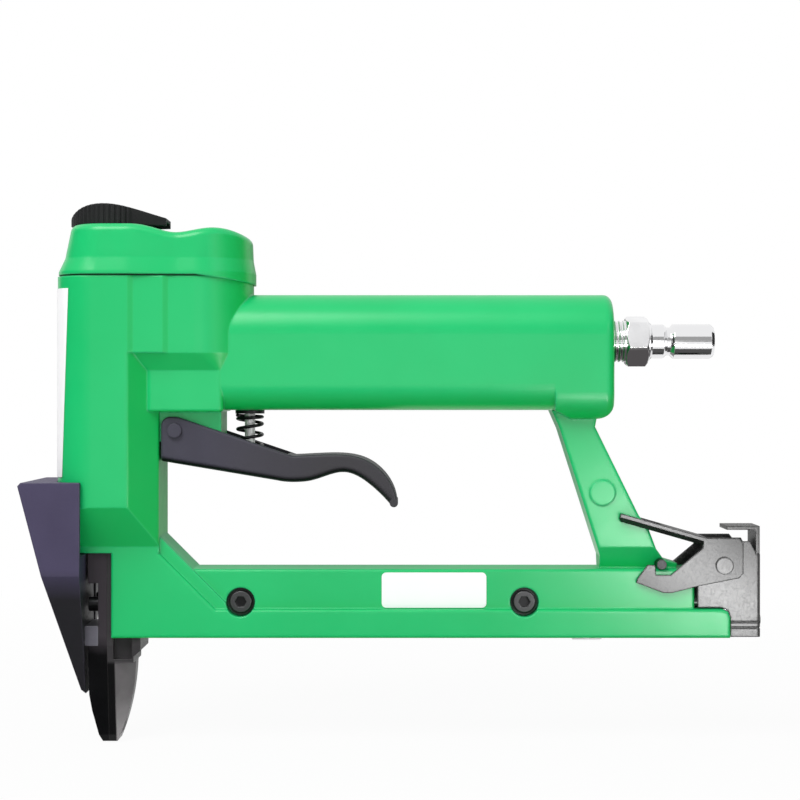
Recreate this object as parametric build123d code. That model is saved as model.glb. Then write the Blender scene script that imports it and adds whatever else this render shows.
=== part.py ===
from build123d import *
from math import acos, atan2, cos, hypot, pi, radians, sin, sqrt
import os

# The part is a compressed-air point driver. The drive axis is the Z axis, the nose tip is at the
# origin, +X runs to the air plug and the beam, +Y to the far side. All sizes are millimetres.

# Heights, stacked up from the nose tip
beam_floor = 32.3          # underside of the magazine beam above the tip
strip_height = 8.7         # proud lower strip of the beam
panel_height = 12.1        # narrower upper panel of the beam
grip_gap = 48.6            # clear height of the hand opening
handle_height = 35.5
head_rise = 5.0            # head seam above the handle
cap_height = 15.3
deflector_height = 6.3

# Reaches along X from the drive axis
head_front = 15.0
lobe_back = 7.6            # back of the wide front lobe
web_back = 18.1            # back of the web between the lobes
head_rear = 44.0
step_run = 1.6             # soft steps between the lobes
leg_back = 16.1            # front end of the hand opening
handle_length = 110.5      # from the head's rear to the handle's end
beam_reach = 190.0         # rear end of the beam's strip
panel_short = 10.6         # the upper panel ends this far before the strip
strip_corner = 2.4         # cut corner at the strip's rear end

# Half widths across Y
lobe_half = 20.0
web_half = 19.2
rear_half = 18.4
box_half = 15.2            # trigger box under the head
leg_back_half = 11.5
leg_corner = 1.5           # soft upright edges of the leg
handle_half = 15.0
strip_half = 11.2
panel_half = 8.5
strut_half = 7.4
strut_foot_half = 4.2      # where the strut meets the beam

# Rounding of the casting
front_corner = 11.5
rear_corner = 16.5
handle_under_radius = 8.0
handle_top_radius = 12.5
handle_end_radius = 2.7
cast_radius = 0.8          # soft edges of the beam and the strut
cap_edge = 2.4
cap_rim = 0.9              # upright rim of the cap
flare_rise = 4.2           # flared foot of the cap above its rim
flare_lean = 2.0           # from the rim to the flare's top, at the front
flare_draw = 0.8           # and on the other sides
cap_front_set = 1.0        # the rim's front stands back from its lip
cap_front_lean = 4.1       # from the rim to the crown, at the front
cap_draw = 1.2             # and on the other sides
cap_bend = 20.0            # soft bends of the cap's sides
valley_shift = 3.5         # dip between the cap's crowns, behind the web
valley_drop = 2.5
rear_crown = 9.5           # top of the rear crown behind the dip
rear_drop = 1.1            # and below the front crown
tail_drop = 5.0            # rear end of the rear crown
cap_lip = 0.7              # the cap stands this far over the body
cap_lip_drop = 2.6         # the lip hangs lower at the rear

# Details of the casting
shoulder_height = 5.2      # slope under the head
box_height = 12.5          # trigger box below the slope
box_drop = 0.4             # trigger box below the handle's underside
box_setback = 8.1          # trigger box before the head's rear
box_lap = 3.6              # trigger box before the leg's back
box_corner = 1.6
lug_drop = 9.2            # trigger lug below the box
lug_half = 10.0
leg_slope_height = 12.3    # slope at the leg's foot
corner_cut = 10.2          # cut corner of the hand opening
pad_front = 3.4            # front of the casting behind the drive guides
cheek_reach = 2.0          # casting's cheeks beside the drive guides
pad_rise = 11.5            # front pad above the beam
pad_slope = 5.0            # width of the slope beside the pad
nose_rise = 5.1            # top of the drive guides above the beam
boss_radius = 3.9          # round boss on the strut
boss_height = 23.3         # boss above the beam
boss_proud = 0.5
strut_inset = 5.3          # strut's rear edge before the handle's end
strut_width = 10.9
ear_length = 23.8          # the ear's foot behind the strut's front
ear_setback = 4.9          # the ear ends before the panel's rear end
ear_rise = 10.6            # height of the ear's shoulder
ear_lip = 1.6              # height of the ear's rear end above the beam
under_dip = 2.7            # handle's underside at the strut
heel_length = 18.0         # lower heel of the handle, from the handle's end
heel_radius = 5.0          # round corner of the heel
strut_cove = 6.7           # height of the slope at the strut's foot
handle_wall = 4.0          # around the air chamber in the handle

# Fits
slide_gap = 0.3            # between parts that slide or sit loose
run_gap = 0.05             # radial, turning and sliding shafts and bores
gasket_thickness = 0.5
ring_wire = 0.8            # section radius of the sealing rings

# Cylinder, piston and blade
liner_outer = 12.2
liner_wall = 1.4
piston_height = 10.0
bumper_height = 7.0
blade_thickness = 1.0
blade_half = 3.8
blade_grip = 6.0           # blade's length inside the piston
blade_pin_radius = 1.2
channel_gap = 0.15         # around the blade in the drive channel
feed_margin = 1.5          # feed window inside the magazine cavity

# Head fasteners
head_screw_radius = 2.0
head_screw_cap = 3.4
head_screw_sink = 7.5      # their seats below the cap's top
head_screw_rise = 4.0      # height of their heads
head_screw_length = 24.0
deflector_screw_radius = 2.5
deflector_sink = 2.4       # screw pocket in the deflector's crown
deflector_inset = 2.7      # deflector's round behind the head's front
beak_length = 5.3          # beak beyond the deflector's round
beak_drop = 4.0            # beak's end below the crown
brow_drop = 4.5            # round's front edge below the crown
outlet_height = 1.3        # slit under the beak
rib_groove = 0.35          # grooves between the deflector's ribs
washer_thickness = 0.4

# Valve gear
spool_x = 31.0
spool_radius = 5.0
spool_length = 20.0
spool_travel = 4.0
spool_spring_shut = 3.0    # shut height of the spool's spring
stem_x = 42.9
stem_radius = 1.6
stem_play = 0.9            # free play between the lever and the stem
stem_margin = 1.6          # left above the stem when the trigger is pulled
bush_radius = 4.4
bush_height = 17.0
disc_radius = 4.5
disc_thickness = 1.1

# Trigger lever and its spring
pivot_x = 20.9
pivot_drop = 5.8           # pivot below the trigger box
lever_half = 12.0
lever_sheet = 1.6
lever_bend = 0.8           # round upper edges of the pressing
lever_fold = 2.0           # fold along its underside
lever_clear = 0.6          # lever's front behind the leg
lever_corner = 2.8         # round upper corner at the front
lever_straight = 35.9      # cheeks run straight this far from the pivot
lever_reach = 67.6         # finger hook from the pivot
lever_front = 9.3          # underside below the pivot, at the front
lever_keel = 31.0          # end of the straight underside behind the pivot
lever_keel_drop = 15.2     # and below it
lever_heel = 15.7          # lowest point, where the hook begins
lever_shoulder = 7.7       # top edge below the pivot where the hook begins
hook_crown = 7.2           # top of the hook's bow below the pivot
hook_palm = 12.7           # its hollow underside below the pivot
hook_drop = 23.6           # its tip below the pivot
trigger_swing = 12.0       # degrees
pin_radius = 2.0
pin_head = 2.2
pin_head_height = 0.9
spring_wire = 0.9          # diameter
spring_mean = 4.0          # radius of the coil's centre line
spring_turns = 4
seat_height = 9.5          # spring seat on the lever below the pivot

# Air plug
plug_thread = 6.4
plug_flats = 14.0
plug_collar = 6.0
plug_neck = 5.2
plug_groove = 4.3
plug_tube = 5.3
plug_bore = 3.2
plug_sunk = 9.0            # thread inside the handle
plug_free = 4.6            # thread that shows
plug_hex_length = 6.8
plug_neck_length = 4.8
plug_groove_length = 3.2
plug_tube_length = 12.4
thread_pitch = 1.3

# Nose
nose_half = 9.6
guide_front = 5.8          # front of the thick parts of the front guide
guide_strip = 2.7          # front of its thin strip
tip_half = 5.0
tip_front = 1.9
tip_rear = 2.6
guide_belly = 5.9          # bowed rear of the rear guide
guide_foot_rear = 10.2     # rear corner of the rear guide under the beam
flank_start = 2.3          # slanted flanks of the rear guide
flank_turn = 45.0          # degrees
flank_drop = 7.8           # their top below the beam
pocket_depth = 3.0         # side pockets above them
pocket_height = 6.7
guard_reach = 25.0
guard_wall = 1.4
guard_height = 80.0        # guard's top above the tip
guard_crease = 52.0
guard_crease_reach = 17.9
guard_foot = 14.6
guard_foot_half = 6.0
guard_back = 6.4           # rear edge of the guard's cheeks at the top
guard_back_foot = 6.8      # and at the foot
nose_screw_radius = 1.5
nose_screw_head = 2.2
nose_screw_height = 42.4
nose_screw_half = 7.4      # screws beside the drive channel
nose_screw_depth = 6.0     # thread in the casting
nose_socket = 1.4          # half the socket's corner width
spacer_floor = 29.8
spacer_height = 6.0

# Magazine
cavity_half = 5.4
cavity_roof_drop = 3.4     # cavity's roof below the beam's top
rail_lip = 1.2             # lips that carry the drawer
rail_half = 4.0            # half the slot between the lips
front_web = 10.0           # closed floor before the slot
tray_wall = 0.8
tray_height = 6.8
tab_setback = 47.5         # tab under the drawer, before the beam's rear end
tab_length = 9.0
tab_drop = 1.2             # below the beam
pusher_length = 12.0
pusher_half = 3.9
rod_radius = 1.4
rod_height = 4.6           # rod above the tray's floor
rivet_radius = 1.0
rivet_half = 3.0           # rivets beside the rod
pusher_spring_outer = 2.6
beam_screw_front = 40.7
beam_screw_pitch = 86.7
beam_screw_rise = 2.1      # screws above the ledge
beam_screw_head = 3.5
beam_screw_bore = 4.4
beam_screw_sink = 2.3
beam_screw_shank = 2.0
hex_socket = 1.6           # half the socket's corner width

# Rear bracket and latch
sheet = 1.2
bracket_lap = 9.6          # bracket's cheeks before the beam's rear end
bracket_depth = 19.2       # bracket's front edge to the back of its rear plate
bracket_rise = 8.5         # bracket above the beam
bracket_bend = 1.0         # outside radius of its bends
hem_pitch = 1.7            # folded hem round the bracket's foot
hem_groove = 0.5
lip_rise = 13.1            # finger lip above the beam
lip_length = 10.0
lip_half = 7.0
latch_setback = 1.7        # pivot before the beam's rear end
latch_rise = 1.2           # pivot above the beam
latch_pin_radius = 1.8
latch_pin_head = 2.65
thumb_thickness = 2.6
thumb_reach = 32.0         # thumb bar's front end before the pivot
catch_reach = 19.1         # catch pin before the latch's pivot
catch_rise = 0.3           # and above it
catch_radius = 1.5
hook_reach = 26.9          # hook's front end before the pivot
hook_belly = 8.3           # lowest edge below the pivot
hook_bite = 1.4            # room under the catch pin in the hook
latch_heel = 5.8           # plates behind the pivot
latch_crest = 8.4          # and above it
thumb_rise = 0.25          # slope of the thumb bar
thumb_bevel = 1.3          # its lower outer edges

# Labels
label_thickness = 0.2
label_front = 83.8
label_length = 32.0
label_corner = 1.4
front_label_floor = 81.5
front_label_height = 57.0
front_label_wrap = 4.6     # round the corner at the top
front_label_foot_wrap = 2.4

# Levels and places worked out from the sizes above
strip_top = beam_floor + strip_height
beam_top = strip_top + panel_height
handle_floor = beam_top + grip_gap
handle_top = handle_floor + handle_height
seam = handle_top + head_rise
cap_floor = seam + gasket_thickness
cap_top = cap_floor + cap_height
box_floor = handle_floor - box_drop
box_top = box_floor + box_height
shoulder = box_top + shoulder_height
box_front = leg_back - box_lap
box_rear = head_rear - box_setback
handle_end = head_rear + handle_length
handle_axis = (handle_floor + handle_top) / 2 + 3.5
panel_rear = beam_reach - panel_short
ear_rear = panel_rear - ear_setback
strut_foot = ear_rear - ear_length
strut_back = (ear_rear - 12, beam_top + ear_rise + 5.9)
nose_top = beam_top + nose_rise
nose_screw_end = pad_front + nose_screw_depth
leg_slope_foot = nose_top + 2.0
leg_foot = leg_slope_foot + leg_slope_height
cavity_roof = beam_top - cavity_roof_drop
tray_floor = beam_floor + rail_lip + slide_gap
tray_top = tray_floor + tray_height
tray_half = cavity_half - slide_gap
tray_front = pad_front + slide_gap
slot_front = pad_front + front_web
rod_z_level = tray_floor + tray_wall + rod_height
tab_front = beam_reach - tab_setback
bracket_front = beam_reach - bracket_lap
bracket_rear = bracket_front + bracket_depth
bracket_top = beam_top + bracket_rise
lip_height = beam_top + lip_rise
latch_pivot_x = beam_reach - latch_setback
latch_pivot_z = beam_top + latch_rise
catch_x = latch_pivot_x - catch_reach
catch_z = latch_pivot_z + catch_rise
plate_front = bracket_rear - sheet
latch_inner = panel_half + slide_gap + 0.1
latch_half = latch_inner + sheet
bore_radius = liner_outer + run_gap
liner_inner = liner_outer - liner_wall
liner_floor = leg_foot - 6.0
bumper_top = liner_floor + bumper_height
channel_half = blade_half + channel_gap
channel_depth = blade_thickness / 2 + channel_gap
feed_floor = beam_floor + feed_margin
feed_top = cavity_roof - feed_margin
blade_foot = feed_top + 2.0
piston_stroke = blade_foot - slide_gap
piston_floor = bumper_top + slide_gap + piston_stroke
piston_top = piston_floor + piston_height
pivot_z = box_floor - pivot_drop
lever_eye = pivot_x - leg_back - lever_clear
lever_lean = (lever_keel_drop - lever_front) / (lever_keel + lever_eye)
disc_floor = handle_floor - disc_thickness
seat_z = pivot_z - seat_height
beam_screw_z = strip_top + beam_screw_rise
beam_screw_places = [beam_screw_front, beam_screw_front + beam_screw_pitch]
screw_floor = panel_half - beam_screw_sink
head_screw_rows = [(lobe_back + 2.2, lobe_half - 6.8), (head_rear - 8.5, rear_half - 9.2)]
head_screw_places = [(x, side * y) for x, y in head_screw_rows for side in (-1, 1)]
spool_top = seam - spool_travel - spool_spring_shut
spool_floor = spool_top - spool_length
deflector_floor = cap_top + slide_gap


def box_between(low, high):
    size = Vector(*high) - Vector(*low)
    middle = (Vector(*high) + Vector(*low)) * 0.5
    return Location(middle) * Box(size.X, size.Y, size.Z)


def side_plate(points, near, far):
    face = make_face(Polyline(*points, close=True))
    return extrude(Plane.XZ.offset(-far) * face, amount=far - near)


def side_prism(points, half_width):
    return side_plate(points, -half_width, half_width)


def soft_prism(points, half_width, radius):
    body = side_prism(points, half_width)
    faces = body.faces().sort_by(Axis.Y)
    return fillet(faces[0].edges() + faces[-1].edges(), radius)


def rod_x(radius, start, end, y, z):
    return Pos((start + end) / 2, y, z) * Rot(0, 90, 0) * Cylinder(radius, end - start)


def rod_y(radius, start, end, x, z):
    return Pos(x, (start + end) / 2, z) * Rot(90, 0, 0) * Cylinder(radius, end - start)


def rod_z(radius, start, end, x=0, y=0):
    return Pos(x, y, (start + end) / 2) * Cylinder(radius, end - start)


def ring_z(radius, wire_radius, z, x=0):
    return Pos(x, 0, z) * Torus(radius, wire_radius)


def tube_z(outer, inner, start, end, x=0):
    return rod_z(outer, start, end, x) - rod_z(inner, start, end, x)


def spun_x(points, z):
    face = make_face(Polyline(*points, close=True))
    return Pos(0, 0, z) * revolve(Plane.XZ * face, axis=Axis.X)


def group(shapes):
    return Compound(children=[solid for shape in shapes for solid in shape.solids()])


def save(name, shape):
    export_step(shape, "parts/" + name + ".step")
    print(name, len(shape.solids()), round(shape.volume, 1))


# Head: plan outline shared by the body, the gasket and the cap
def lobe_plan(grow=0.0):
    length = head_front + lobe_back + 2 * grow
    plan = Pos((lobe_back - head_front) / 2, 0) * Rectangle(length, 2 * (lobe_half + grow))
    return fillet(plan.vertices().group_by(Axis.X)[0], front_corner + grow)


def step_plan(reach, half_width, next_half):
    side = [(0, half_width), (reach, half_width), (reach + step_run, next_half)]
    other_side = [(x, -y) for x, y in reversed(side)]
    return make_face(Polyline(*side, *other_side, close=True))


def head_plan(grow=0.0):
    lobe_step = step_plan(lobe_back + grow, lobe_half + grow, web_half + grow)
    web = step_plan(web_back + grow, web_half + grow, rear_half + grow)
    rear_length = head_rear - lobe_back + 2 * grow
    rear = Pos((lobe_back + head_rear) / 2, 0) * Rectangle(rear_length, 2 * (rear_half + grow))
    rear = fillet(rear.vertices().group_by(Axis.X)[-1], rear_corner + grow)
    return lobe_plan(grow) + lobe_step + web + rear


def cap_plan(grow=0.0, front_set=0.0):
    front = -head_front - grow + front_set
    rear = head_rear + grow
    wide = lobe_half + grow
    narrow = rear_half + grow
    slope_end = web_back + 4.0
    plan = make_face(Polyline(
        (front, -wide), (lobe_back, -wide), (slope_end, -narrow), (rear, -narrow),
        (rear, narrow), (slope_end, narrow), (lobe_back, wide), (front, wide), close=True))
    plan = fillet([corner for corner in plan.vertices() if front < corner.X - 1 < rear - 2], cap_bend)
    plan = fillet(plan.vertices().group_by(Axis.X)[0], front_corner + grow)
    return fillet(plan.vertices().group_by(Axis.X)[-1], rear_corner + grow)


def leg_plan(grow=0.0):
    flank = make_face(Polyline(
        (0, lobe_half + grow), (lobe_back, lobe_half + grow), (leg_back + grow, leg_back_half + grow),
        (leg_back + grow, -leg_back_half - grow), (lobe_back, -lobe_half - grow), (0, -lobe_half - grow),
        close=True))
    flank = fillet([corner for corner in flank.vertices() if corner.X > 1], leg_corner)
    front_half = Pos(-head_front, 0) * Rectangle(2 * head_front, 4 * lobe_half)
    return (lobe_plan(grow) & front_half) + flank


def box_plan(front, rear, half_width, rear_radius):
    plan = Pos((front + rear) / 2, 0) * Rectangle(rear - front, 2 * half_width)
    plan = fillet(plan.vertices().group_by(Axis.X)[0], box_corner)
    return fillet(plan.vertices().group_by(Axis.X)[-1], rear_radius)


# Housing: one casting with head, leg, handle, beam and strut
def head_and_leg():
    body = extrude(Plane.XY.offset(shoulder) * head_plan(), amount=seam - shoulder)
    slope_plan = box_plan(lobe_back, head_rear, rear_half, rear_corner)
    trigger_plan = box_plan(box_front, box_rear, box_half, box_corner)
    slope = [Plane.XY.offset(box_top) * trigger_plan, Plane.XY.offset(shoulder) * slope_plan]
    body += loft(slope, ruled=True)
    box = extrude(Plane.XY.offset(box_floor) * trigger_plan, amount=box_height)
    body += fillet(box.edges().group_by(Axis.Z)[0], box_corner / 2)
    lug_floor = box_floor - lug_drop
    body += box_between((leg_back - 1, -lug_half, lug_floor), (box_rear - 1, lug_half, box_floor))
    body += extrude(Plane.XY.offset(leg_foot) * leg_plan(), amount=shoulder - leg_foot)
    foot = extrude(Plane.XY.offset(nose_top) * leg_plan(), amount=leg_foot - nose_top)
    taper = make_face(Polyline(
        (-lobe_half, leg_foot), (lobe_half, leg_foot), (strip_half, leg_slope_foot), (strip_half, nose_top),
        (-strip_half, nose_top), (-strip_half, leg_slope_foot), close=True))
    return body + (foot & extrude(Plane.YZ.offset(-head_front) * taper, amount=head_front + leg_back))


def handle_bar(start, floor):
    height = handle_top - floor
    section = Pos(0, floor + height / 2) * Rectangle(2 * handle_half, height)
    section = fillet(section.vertices().group_by(Axis.Y)[0], handle_under_radius)
    section = fillet(section.vertices().group_by(Axis.Y)[-1], handle_top_radius)
    body = extrude(Plane.YZ.offset(start) * section, amount=handle_end - start)
    return fillet(body.edges().group_by(Axis.X)[-1], handle_end_radius)


def handle():
    heel_floor = handle_floor - under_dip
    heel_front = handle_end - heel_length
    heel = handle_bar(heel_front, heel_floor)
    corner_top = (handle_end, heel_floor + heel_radius)
    corner_foot = (handle_end - heel_radius, heel_floor)
    heel &= extrude(Plane.XZ * make_face([
        Polyline(corner_foot, (heel_front + 2 * under_dip, heel_floor), (heel_front, handle_floor),
                 (heel_front, handle_top), (handle_end, handle_top), corner_top),
        RadiusArc(corner_top, corner_foot, heel_radius)]), amount=handle_half, both=True)
    return handle_bar(web_back, handle_floor).split(Plane.YZ.offset(heel_front), keep=Keep.BOTTOM) + heel


def round_corner(x, z, radius):
    cut = radius * (1 - sqrt(0.5))
    return (x - radius, z), (x - cut, z - cut), (x, z - radius)


def beam():
    pad_top = beam_top + pad_rise
    pad_corner = leg_back - 6.5
    ledge_front = pad_corner + pad_top - strip_top
    cheek_front = pad_front - cheek_reach
    strip = soft_prism([
        (cheek_front, beam_floor), (cheek_front, pad_top), (pad_corner, pad_top), (ledge_front, strip_top),
        *round_corner(beam_reach, strip_top, strip_corner), (beam_reach, beam_floor)],
        strip_half, cast_radius)
    guide_room = nose_half + slide_gap
    strip -= box_between(
        (cheek_front - 1, -guide_room, beam_floor - 1), (pad_front, guide_room, nose_top))
    slope = side_prism([
        (pad_front, beam_floor + 1), (pad_front, pad_top), (pad_corner + pad_slope, pad_top),
        (ledge_front + pad_slope, strip_top), (ledge_front + pad_slope, beam_floor + 1)],
        (panel_half + strip_half) / 2)
    panel = soft_prism([
        (pad_front, beam_floor + 1), (pad_front, leg_foot), (leg_back, leg_foot),
        (leg_back, beam_top + corner_cut), (leg_back + corner_cut, beam_top), (panel_rear, beam_top),
        (panel_rear, beam_floor + 1)], panel_half, cast_radius)
    return strip + slope + panel


def strut():
    top_rear = handle_end - strut_inset
    top_front = top_rear - strut_width
    body = soft_prism([
        (top_front - 2.5, handle_floor), (top_front, handle_floor - under_dip - 3),
        (strut_foot, beam_top + 4), (strut_foot, beam_top - 4), (ear_rear, beam_top - 4),
        (ear_rear, beam_top + ear_lip), (ear_rear - 4.2, beam_top + ear_lip + 1.2),
        (ear_rear - 6.6, beam_top + ear_rise - 4.5), (ear_rear - 8.8, beam_top + ear_rise + 1.3),
        strut_back, (top_rear, handle_floor - under_dip - 2.4),
        (top_rear + 1, handle_floor)], strut_half, cast_radius)
    cove_top = beam_top + strut_cove
    for side in (-1, 1):
        cove = make_face(Polyline(
            (side * strut_foot_half, beam_top - 4), (side * strut_foot_half, beam_top),
            (side * strut_half, cove_top), (side * strut_half, beam_top - 4), close=True))
        body -= extrude(Plane.YZ.offset(strut_foot - 1) * cove, amount=ear_length + 2)
    return body


def strut_boss_place():
    top = handle_floor - under_dip - 3
    share = (top - beam_top - boss_height) / (top - beam_top)
    top_middle = handle_end - strut_inset - strut_width / 2
    foot_middle = (strut_foot + ear_rear - 4.2) / 2
    return top_middle + share * (foot_middle - top_middle), beam_top + boss_height


def make_housing():
    body = head_and_leg() + handle() + beam() + strut()
    boss_x, boss_z = strut_boss_place()
    boss_half = strut_half + boss_proud
    body += rod_y(boss_radius, -boss_half, boss_half, boss_x, boss_z)
    # cylinder bore, blade slot and valve bores
    body -= rod_z(bore_radius, liner_floor, seam)
    body -= box_between(
        (-channel_depth, -channel_half, nose_top - 1), (channel_depth, channel_half, liner_floor + 1))
    body -= rod_z(spool_radius + run_gap, spool_floor - slide_gap, seam, spool_x)
    body -= rod_z(bush_radius + run_gap, handle_floor - 1, handle_floor + bush_height, stem_x)
    # air chamber from the trigger valve to the plug
    chamber_half = handle_half - handle_wall
    chamber = box_between(
        (head_rear + 6, -chamber_half, handle_floor + handle_wall),
        (handle_end - plug_sunk - 2, chamber_half, handle_top - handle_wall))
    body -= fillet(chamber.edges().filter_by(Axis.X), handle_under_radius - handle_wall)
    body -= rod_x(bush_radius / 2, stem_x, head_rear + 8, 0, handle_floor + bush_height - 2)
    body -= rod_x(plug_thread + run_gap, handle_end - plug_sunk - 3, handle_end + 1, 0, handle_axis)
    # magazine cavity, open below and behind
    body -= box_between(
        (pad_front - 1, -cavity_half, beam_floor + rail_lip), (beam_reach + 1, cavity_half, cavity_roof))
    body -= box_between(
        (slot_front, -rail_half, beam_floor - 1), (beam_reach + 1, rail_half, cavity_roof))
    for x in beam_screw_places:
        for side in (-1, 1):
            outer = strip_half + 1
            near, far = sorted((side * screw_floor, side * outer))
            body -= rod_y(beam_screw_bore, near, far, x, beam_screw_z)
            near, far = sorted((side * (cavity_half - 1), side * outer))
            body -= rod_y(beam_screw_shank, near, far, x, beam_screw_z)
    # holes for the pins and the long screws
    body -= rod_y(pin_radius + run_gap, -lug_half - 1, lug_half + 1, pivot_x, pivot_z)
    body -= rod_y(catch_radius + run_gap, -strut_half - 1, strut_half + 1, catch_x, catch_z)
    screw_foot = cap_top - head_screw_sink - head_screw_length
    for x, y in head_screw_places:
        body -= rod_z(head_screw_radius, screw_foot, seam + 1, x, y)
    for side in (-1, 1):
        screw_y = side * nose_screw_half
        body -= rod_x(nose_screw_radius, pad_front - 1, nose_screw_end, screw_y, nose_screw_height)
    return body


# Head cap, gasket and their screws
def crown_cut():
    rear_end = head_rear + cap_lip + 1
    brow = (lobe_back, cap_top)
    valley = (web_back + valley_shift, cap_top - valley_drop)
    crest = (valley[0] + rear_crown, cap_top - rear_drop)
    tail = (rear_end, cap_top - tail_drop)
    line = Spline(brow, valley, crest, tail, tangents=[(1, 0), (1, -0.6)])
    above = Polyline(tail, (rear_end, cap_top + 5), (lobe_back, cap_top + 5), brow)
    return extrude(Plane.XZ * make_face([line, above]), amount=lobe_half + 2, both=True)


def make_head_cap():
    rim_plan = cap_plan(cap_lip, cap_front_set)
    rim_top = cap_floor + cap_rim
    crown_plan = cap_plan(cap_lip - cap_draw, cap_front_set + cap_front_lean - cap_draw)
    flare_plan = cap_plan(cap_lip - flare_draw, cap_front_set + flare_lean - flare_draw)
    cap = loft([
        Plane.XY.offset(rim_top) * rim_plan, Plane.XY.offset(rim_top + flare_rise) * flare_plan,
        Plane.XY.offset(cap_top) * crown_plan], ruled=True)
    cap -= crown_cut()
    crown = cap.faces().filter_by(lambda face: face.normal_at().Z > 0.8).edges()
    across = crown.filter_by(lambda edge: abs(edge.center().Y) < 1 and 0 < edge.center().X < head_rear - 2)
    cap = fillet([edge for edge in crown if edge not in across], cap_edge)
    cap += extrude(Plane.XY.offset(cap_floor) * rim_plan, amount=cap_rim)
    skirt_plan = cap_plan(cap_lip) - cap_plan(cap_lip / 4)
    skirt = extrude(Plane.XY.offset(cap_floor - cap_lip_drop) * skirt_plan, amount=cap_lip_drop)
    rear_edge = head_rear + cap_lip + 1
    lip_floor = cap_floor - cap_lip_drop
    cap += skirt & side_prism([
        (head_rear - rear_corner, cap_floor), (rear_edge, lip_floor), (rear_edge, cap_floor)], lobe_half)
    cap -= rod_z(liner_inner, cap_floor - 1, cap_floor + 5)
    cap -= rod_z(spool_radius, cap_floor - 1, cap_floor + 4, spool_x)
    cap -= rod_z(deflector_screw_radius, cap_floor, cap_top + 1)
    for angle in (45, 135, 225, 315):
        port = Rot(0, 0, angle) * Pos(7, 0, 0)
        cap -= port * rod_z(2, cap_floor, cap_top + 1)
    for x, y in head_screw_places:
        cap -= rod_z(head_screw_radius, cap_floor - 1, cap_top + 1, x, y)
        cap -= rod_z(head_screw_cap + slide_gap, cap_top - head_screw_sink, cap_top + 1, x, y)
    return cap


def make_head_gasket():
    gasket = extrude(Plane.XY.offset(seam) * head_plan(-gasket_thickness), amount=gasket_thickness)
    gasket -= rod_z(liner_inner, seam - 1, cap_floor + 1)
    gasket -= rod_z(spool_radius, seam - 1, cap_floor + 1, spool_x)
    for x, y in head_screw_places:
        gasket -= rod_z(head_screw_radius, seam - 1, cap_floor + 1, x, y)
    return gasket


def hex_pocket(across, start, end):
    return extrude(Plane.XY.offset(start) * RegularPolygon(across, 6), amount=end - start)


def make_head_screws():
    seat = cap_top - head_screw_sink
    crown = seat + head_screw_rise
    screw = rod_z(head_screw_radius, seat - head_screw_length, seat) + rod_z(head_screw_cap, seat, crown)
    screw -= hex_pocket(hex_socket, seat + head_screw_rise / 2, crown + 1)
    return group([Pos(x, y, 0) * screw for x, y in head_screw_places])


# Exhaust deflector with a beak, held by one screw
def make_deflector():
    radius = head_front - deflector_inset
    beak = radius + beak_length
    beak_half = radius / 2
    plan = Circle(radius) + make_face(Polyline(
        (0, radius), (beak, beak_half), (beak, -beak_half), (0, -radius), close=True))
    shape = extrude(Plane.XY.offset(deflector_floor) * plan, amount=deflector_height)
    crown = deflector_floor + deflector_height
    front_top = (-radius, crown - brow_drop)
    beak_top = (beak, crown - beak_drop)
    arch = Spline(front_top, (-radius + 4, crown - 1.4), (-1.4, crown), (7.6, crown - 1.2), beak_top)
    floor = Polyline(beak_top, (beak, deflector_floor), (-radius, deflector_floor), front_top)
    shape &= extrude(Plane.XZ * make_face([arch, floor]), amount=radius, both=True)
    shape -= rod_z(radius - 2.5, deflector_floor - 1, deflector_floor + 2.5)
    outlet_half = beak_half - 1.5
    shape -= box_between(
        (0, -outlet_half, deflector_floor - 1), (beak + 1, outlet_half, deflector_floor + outlet_height))
    shape -= rod_z(deflector_screw_radius + run_gap, deflector_floor, crown + 1)
    shape -= rod_z(2 * deflector_screw_radius, crown - deflector_sink, crown + 1)
    for angle in range(60, 301, 8):
        shape -= Rot(0, 0, angle) * rod_z(rib_groove, deflector_floor - 1, crown, radius)
    return shape


def make_deflector_washer():
    seat = deflector_floor + deflector_height - deflector_sink
    outer = 2 * deflector_screw_radius - slide_gap
    return tube_z(outer, deflector_screw_radius + run_gap, seat, seat + washer_thickness)


def make_deflector_screw():
    seat = deflector_floor + deflector_height - deflector_sink + washer_thickness
    head = rod_z(2 * deflector_screw_radius - 2 * slide_gap, seat, seat + 1.7)
    head -= Pos(0, 0, seat + 1.7) * Box(3 * deflector_screw_radius, 1, 1.2)
    return head + rod_z(deflector_screw_radius, cap_floor + 5, seat)


# Cylinder liner with its rings and the bumper
liner_rings = [liner_floor + 5, seam - 5]
seal = ring_wire / 2


def make_liner():
    liner = tube_z(liner_outer, liner_inner, liner_floor, seam)
    for z in liner_rings:
        liner -= tube_z(liner_outer + 1, liner_outer - 2.1 * seal, z - 1.1 * seal, z + 1.1 * seal)
    return liner


def make_liner_rings():
    return group([ring_z(liner_outer - 1.05 * seal, seal, z) for z in liner_rings])


def make_bumper():
    bumper = tube_z(liner_inner - run_gap, blade_half + slide_gap, liner_floor, bumper_top)
    return chamfer(bumper.edges().group_by(Axis.Z)[-1].sort_by(SortBy.RADIUS)[-1], 1.5)


# Piston, ring, blade and cross pin move together
ring_level = piston_floor + 0.7 * piston_height
pin_level = piston_floor + blade_grip / 2


def blade_bar(foot):
    half = blade_thickness / 2
    return box_between((-half, -blade_half, foot), (half, blade_half, piston_floor + blade_grip))


def make_piston():
    skirt = liner_inner - run_gap
    groove_half = 1.1 * ring_wire
    piston = rod_z(skirt, piston_floor, piston_top)
    piston -= tube_z(skirt + 1, skirt - 2.1 * ring_wire, ring_level - groove_half, ring_level + groove_half)
    piston -= blade_bar(piston_floor - 1)
    return piston - rod_x(blade_pin_radius, -liner_inner, liner_inner, 0, pin_level)


def make_piston_ring():
    return ring_z(liner_inner - run_gap - 1.05 * ring_wire, ring_wire, ring_level)


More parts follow.
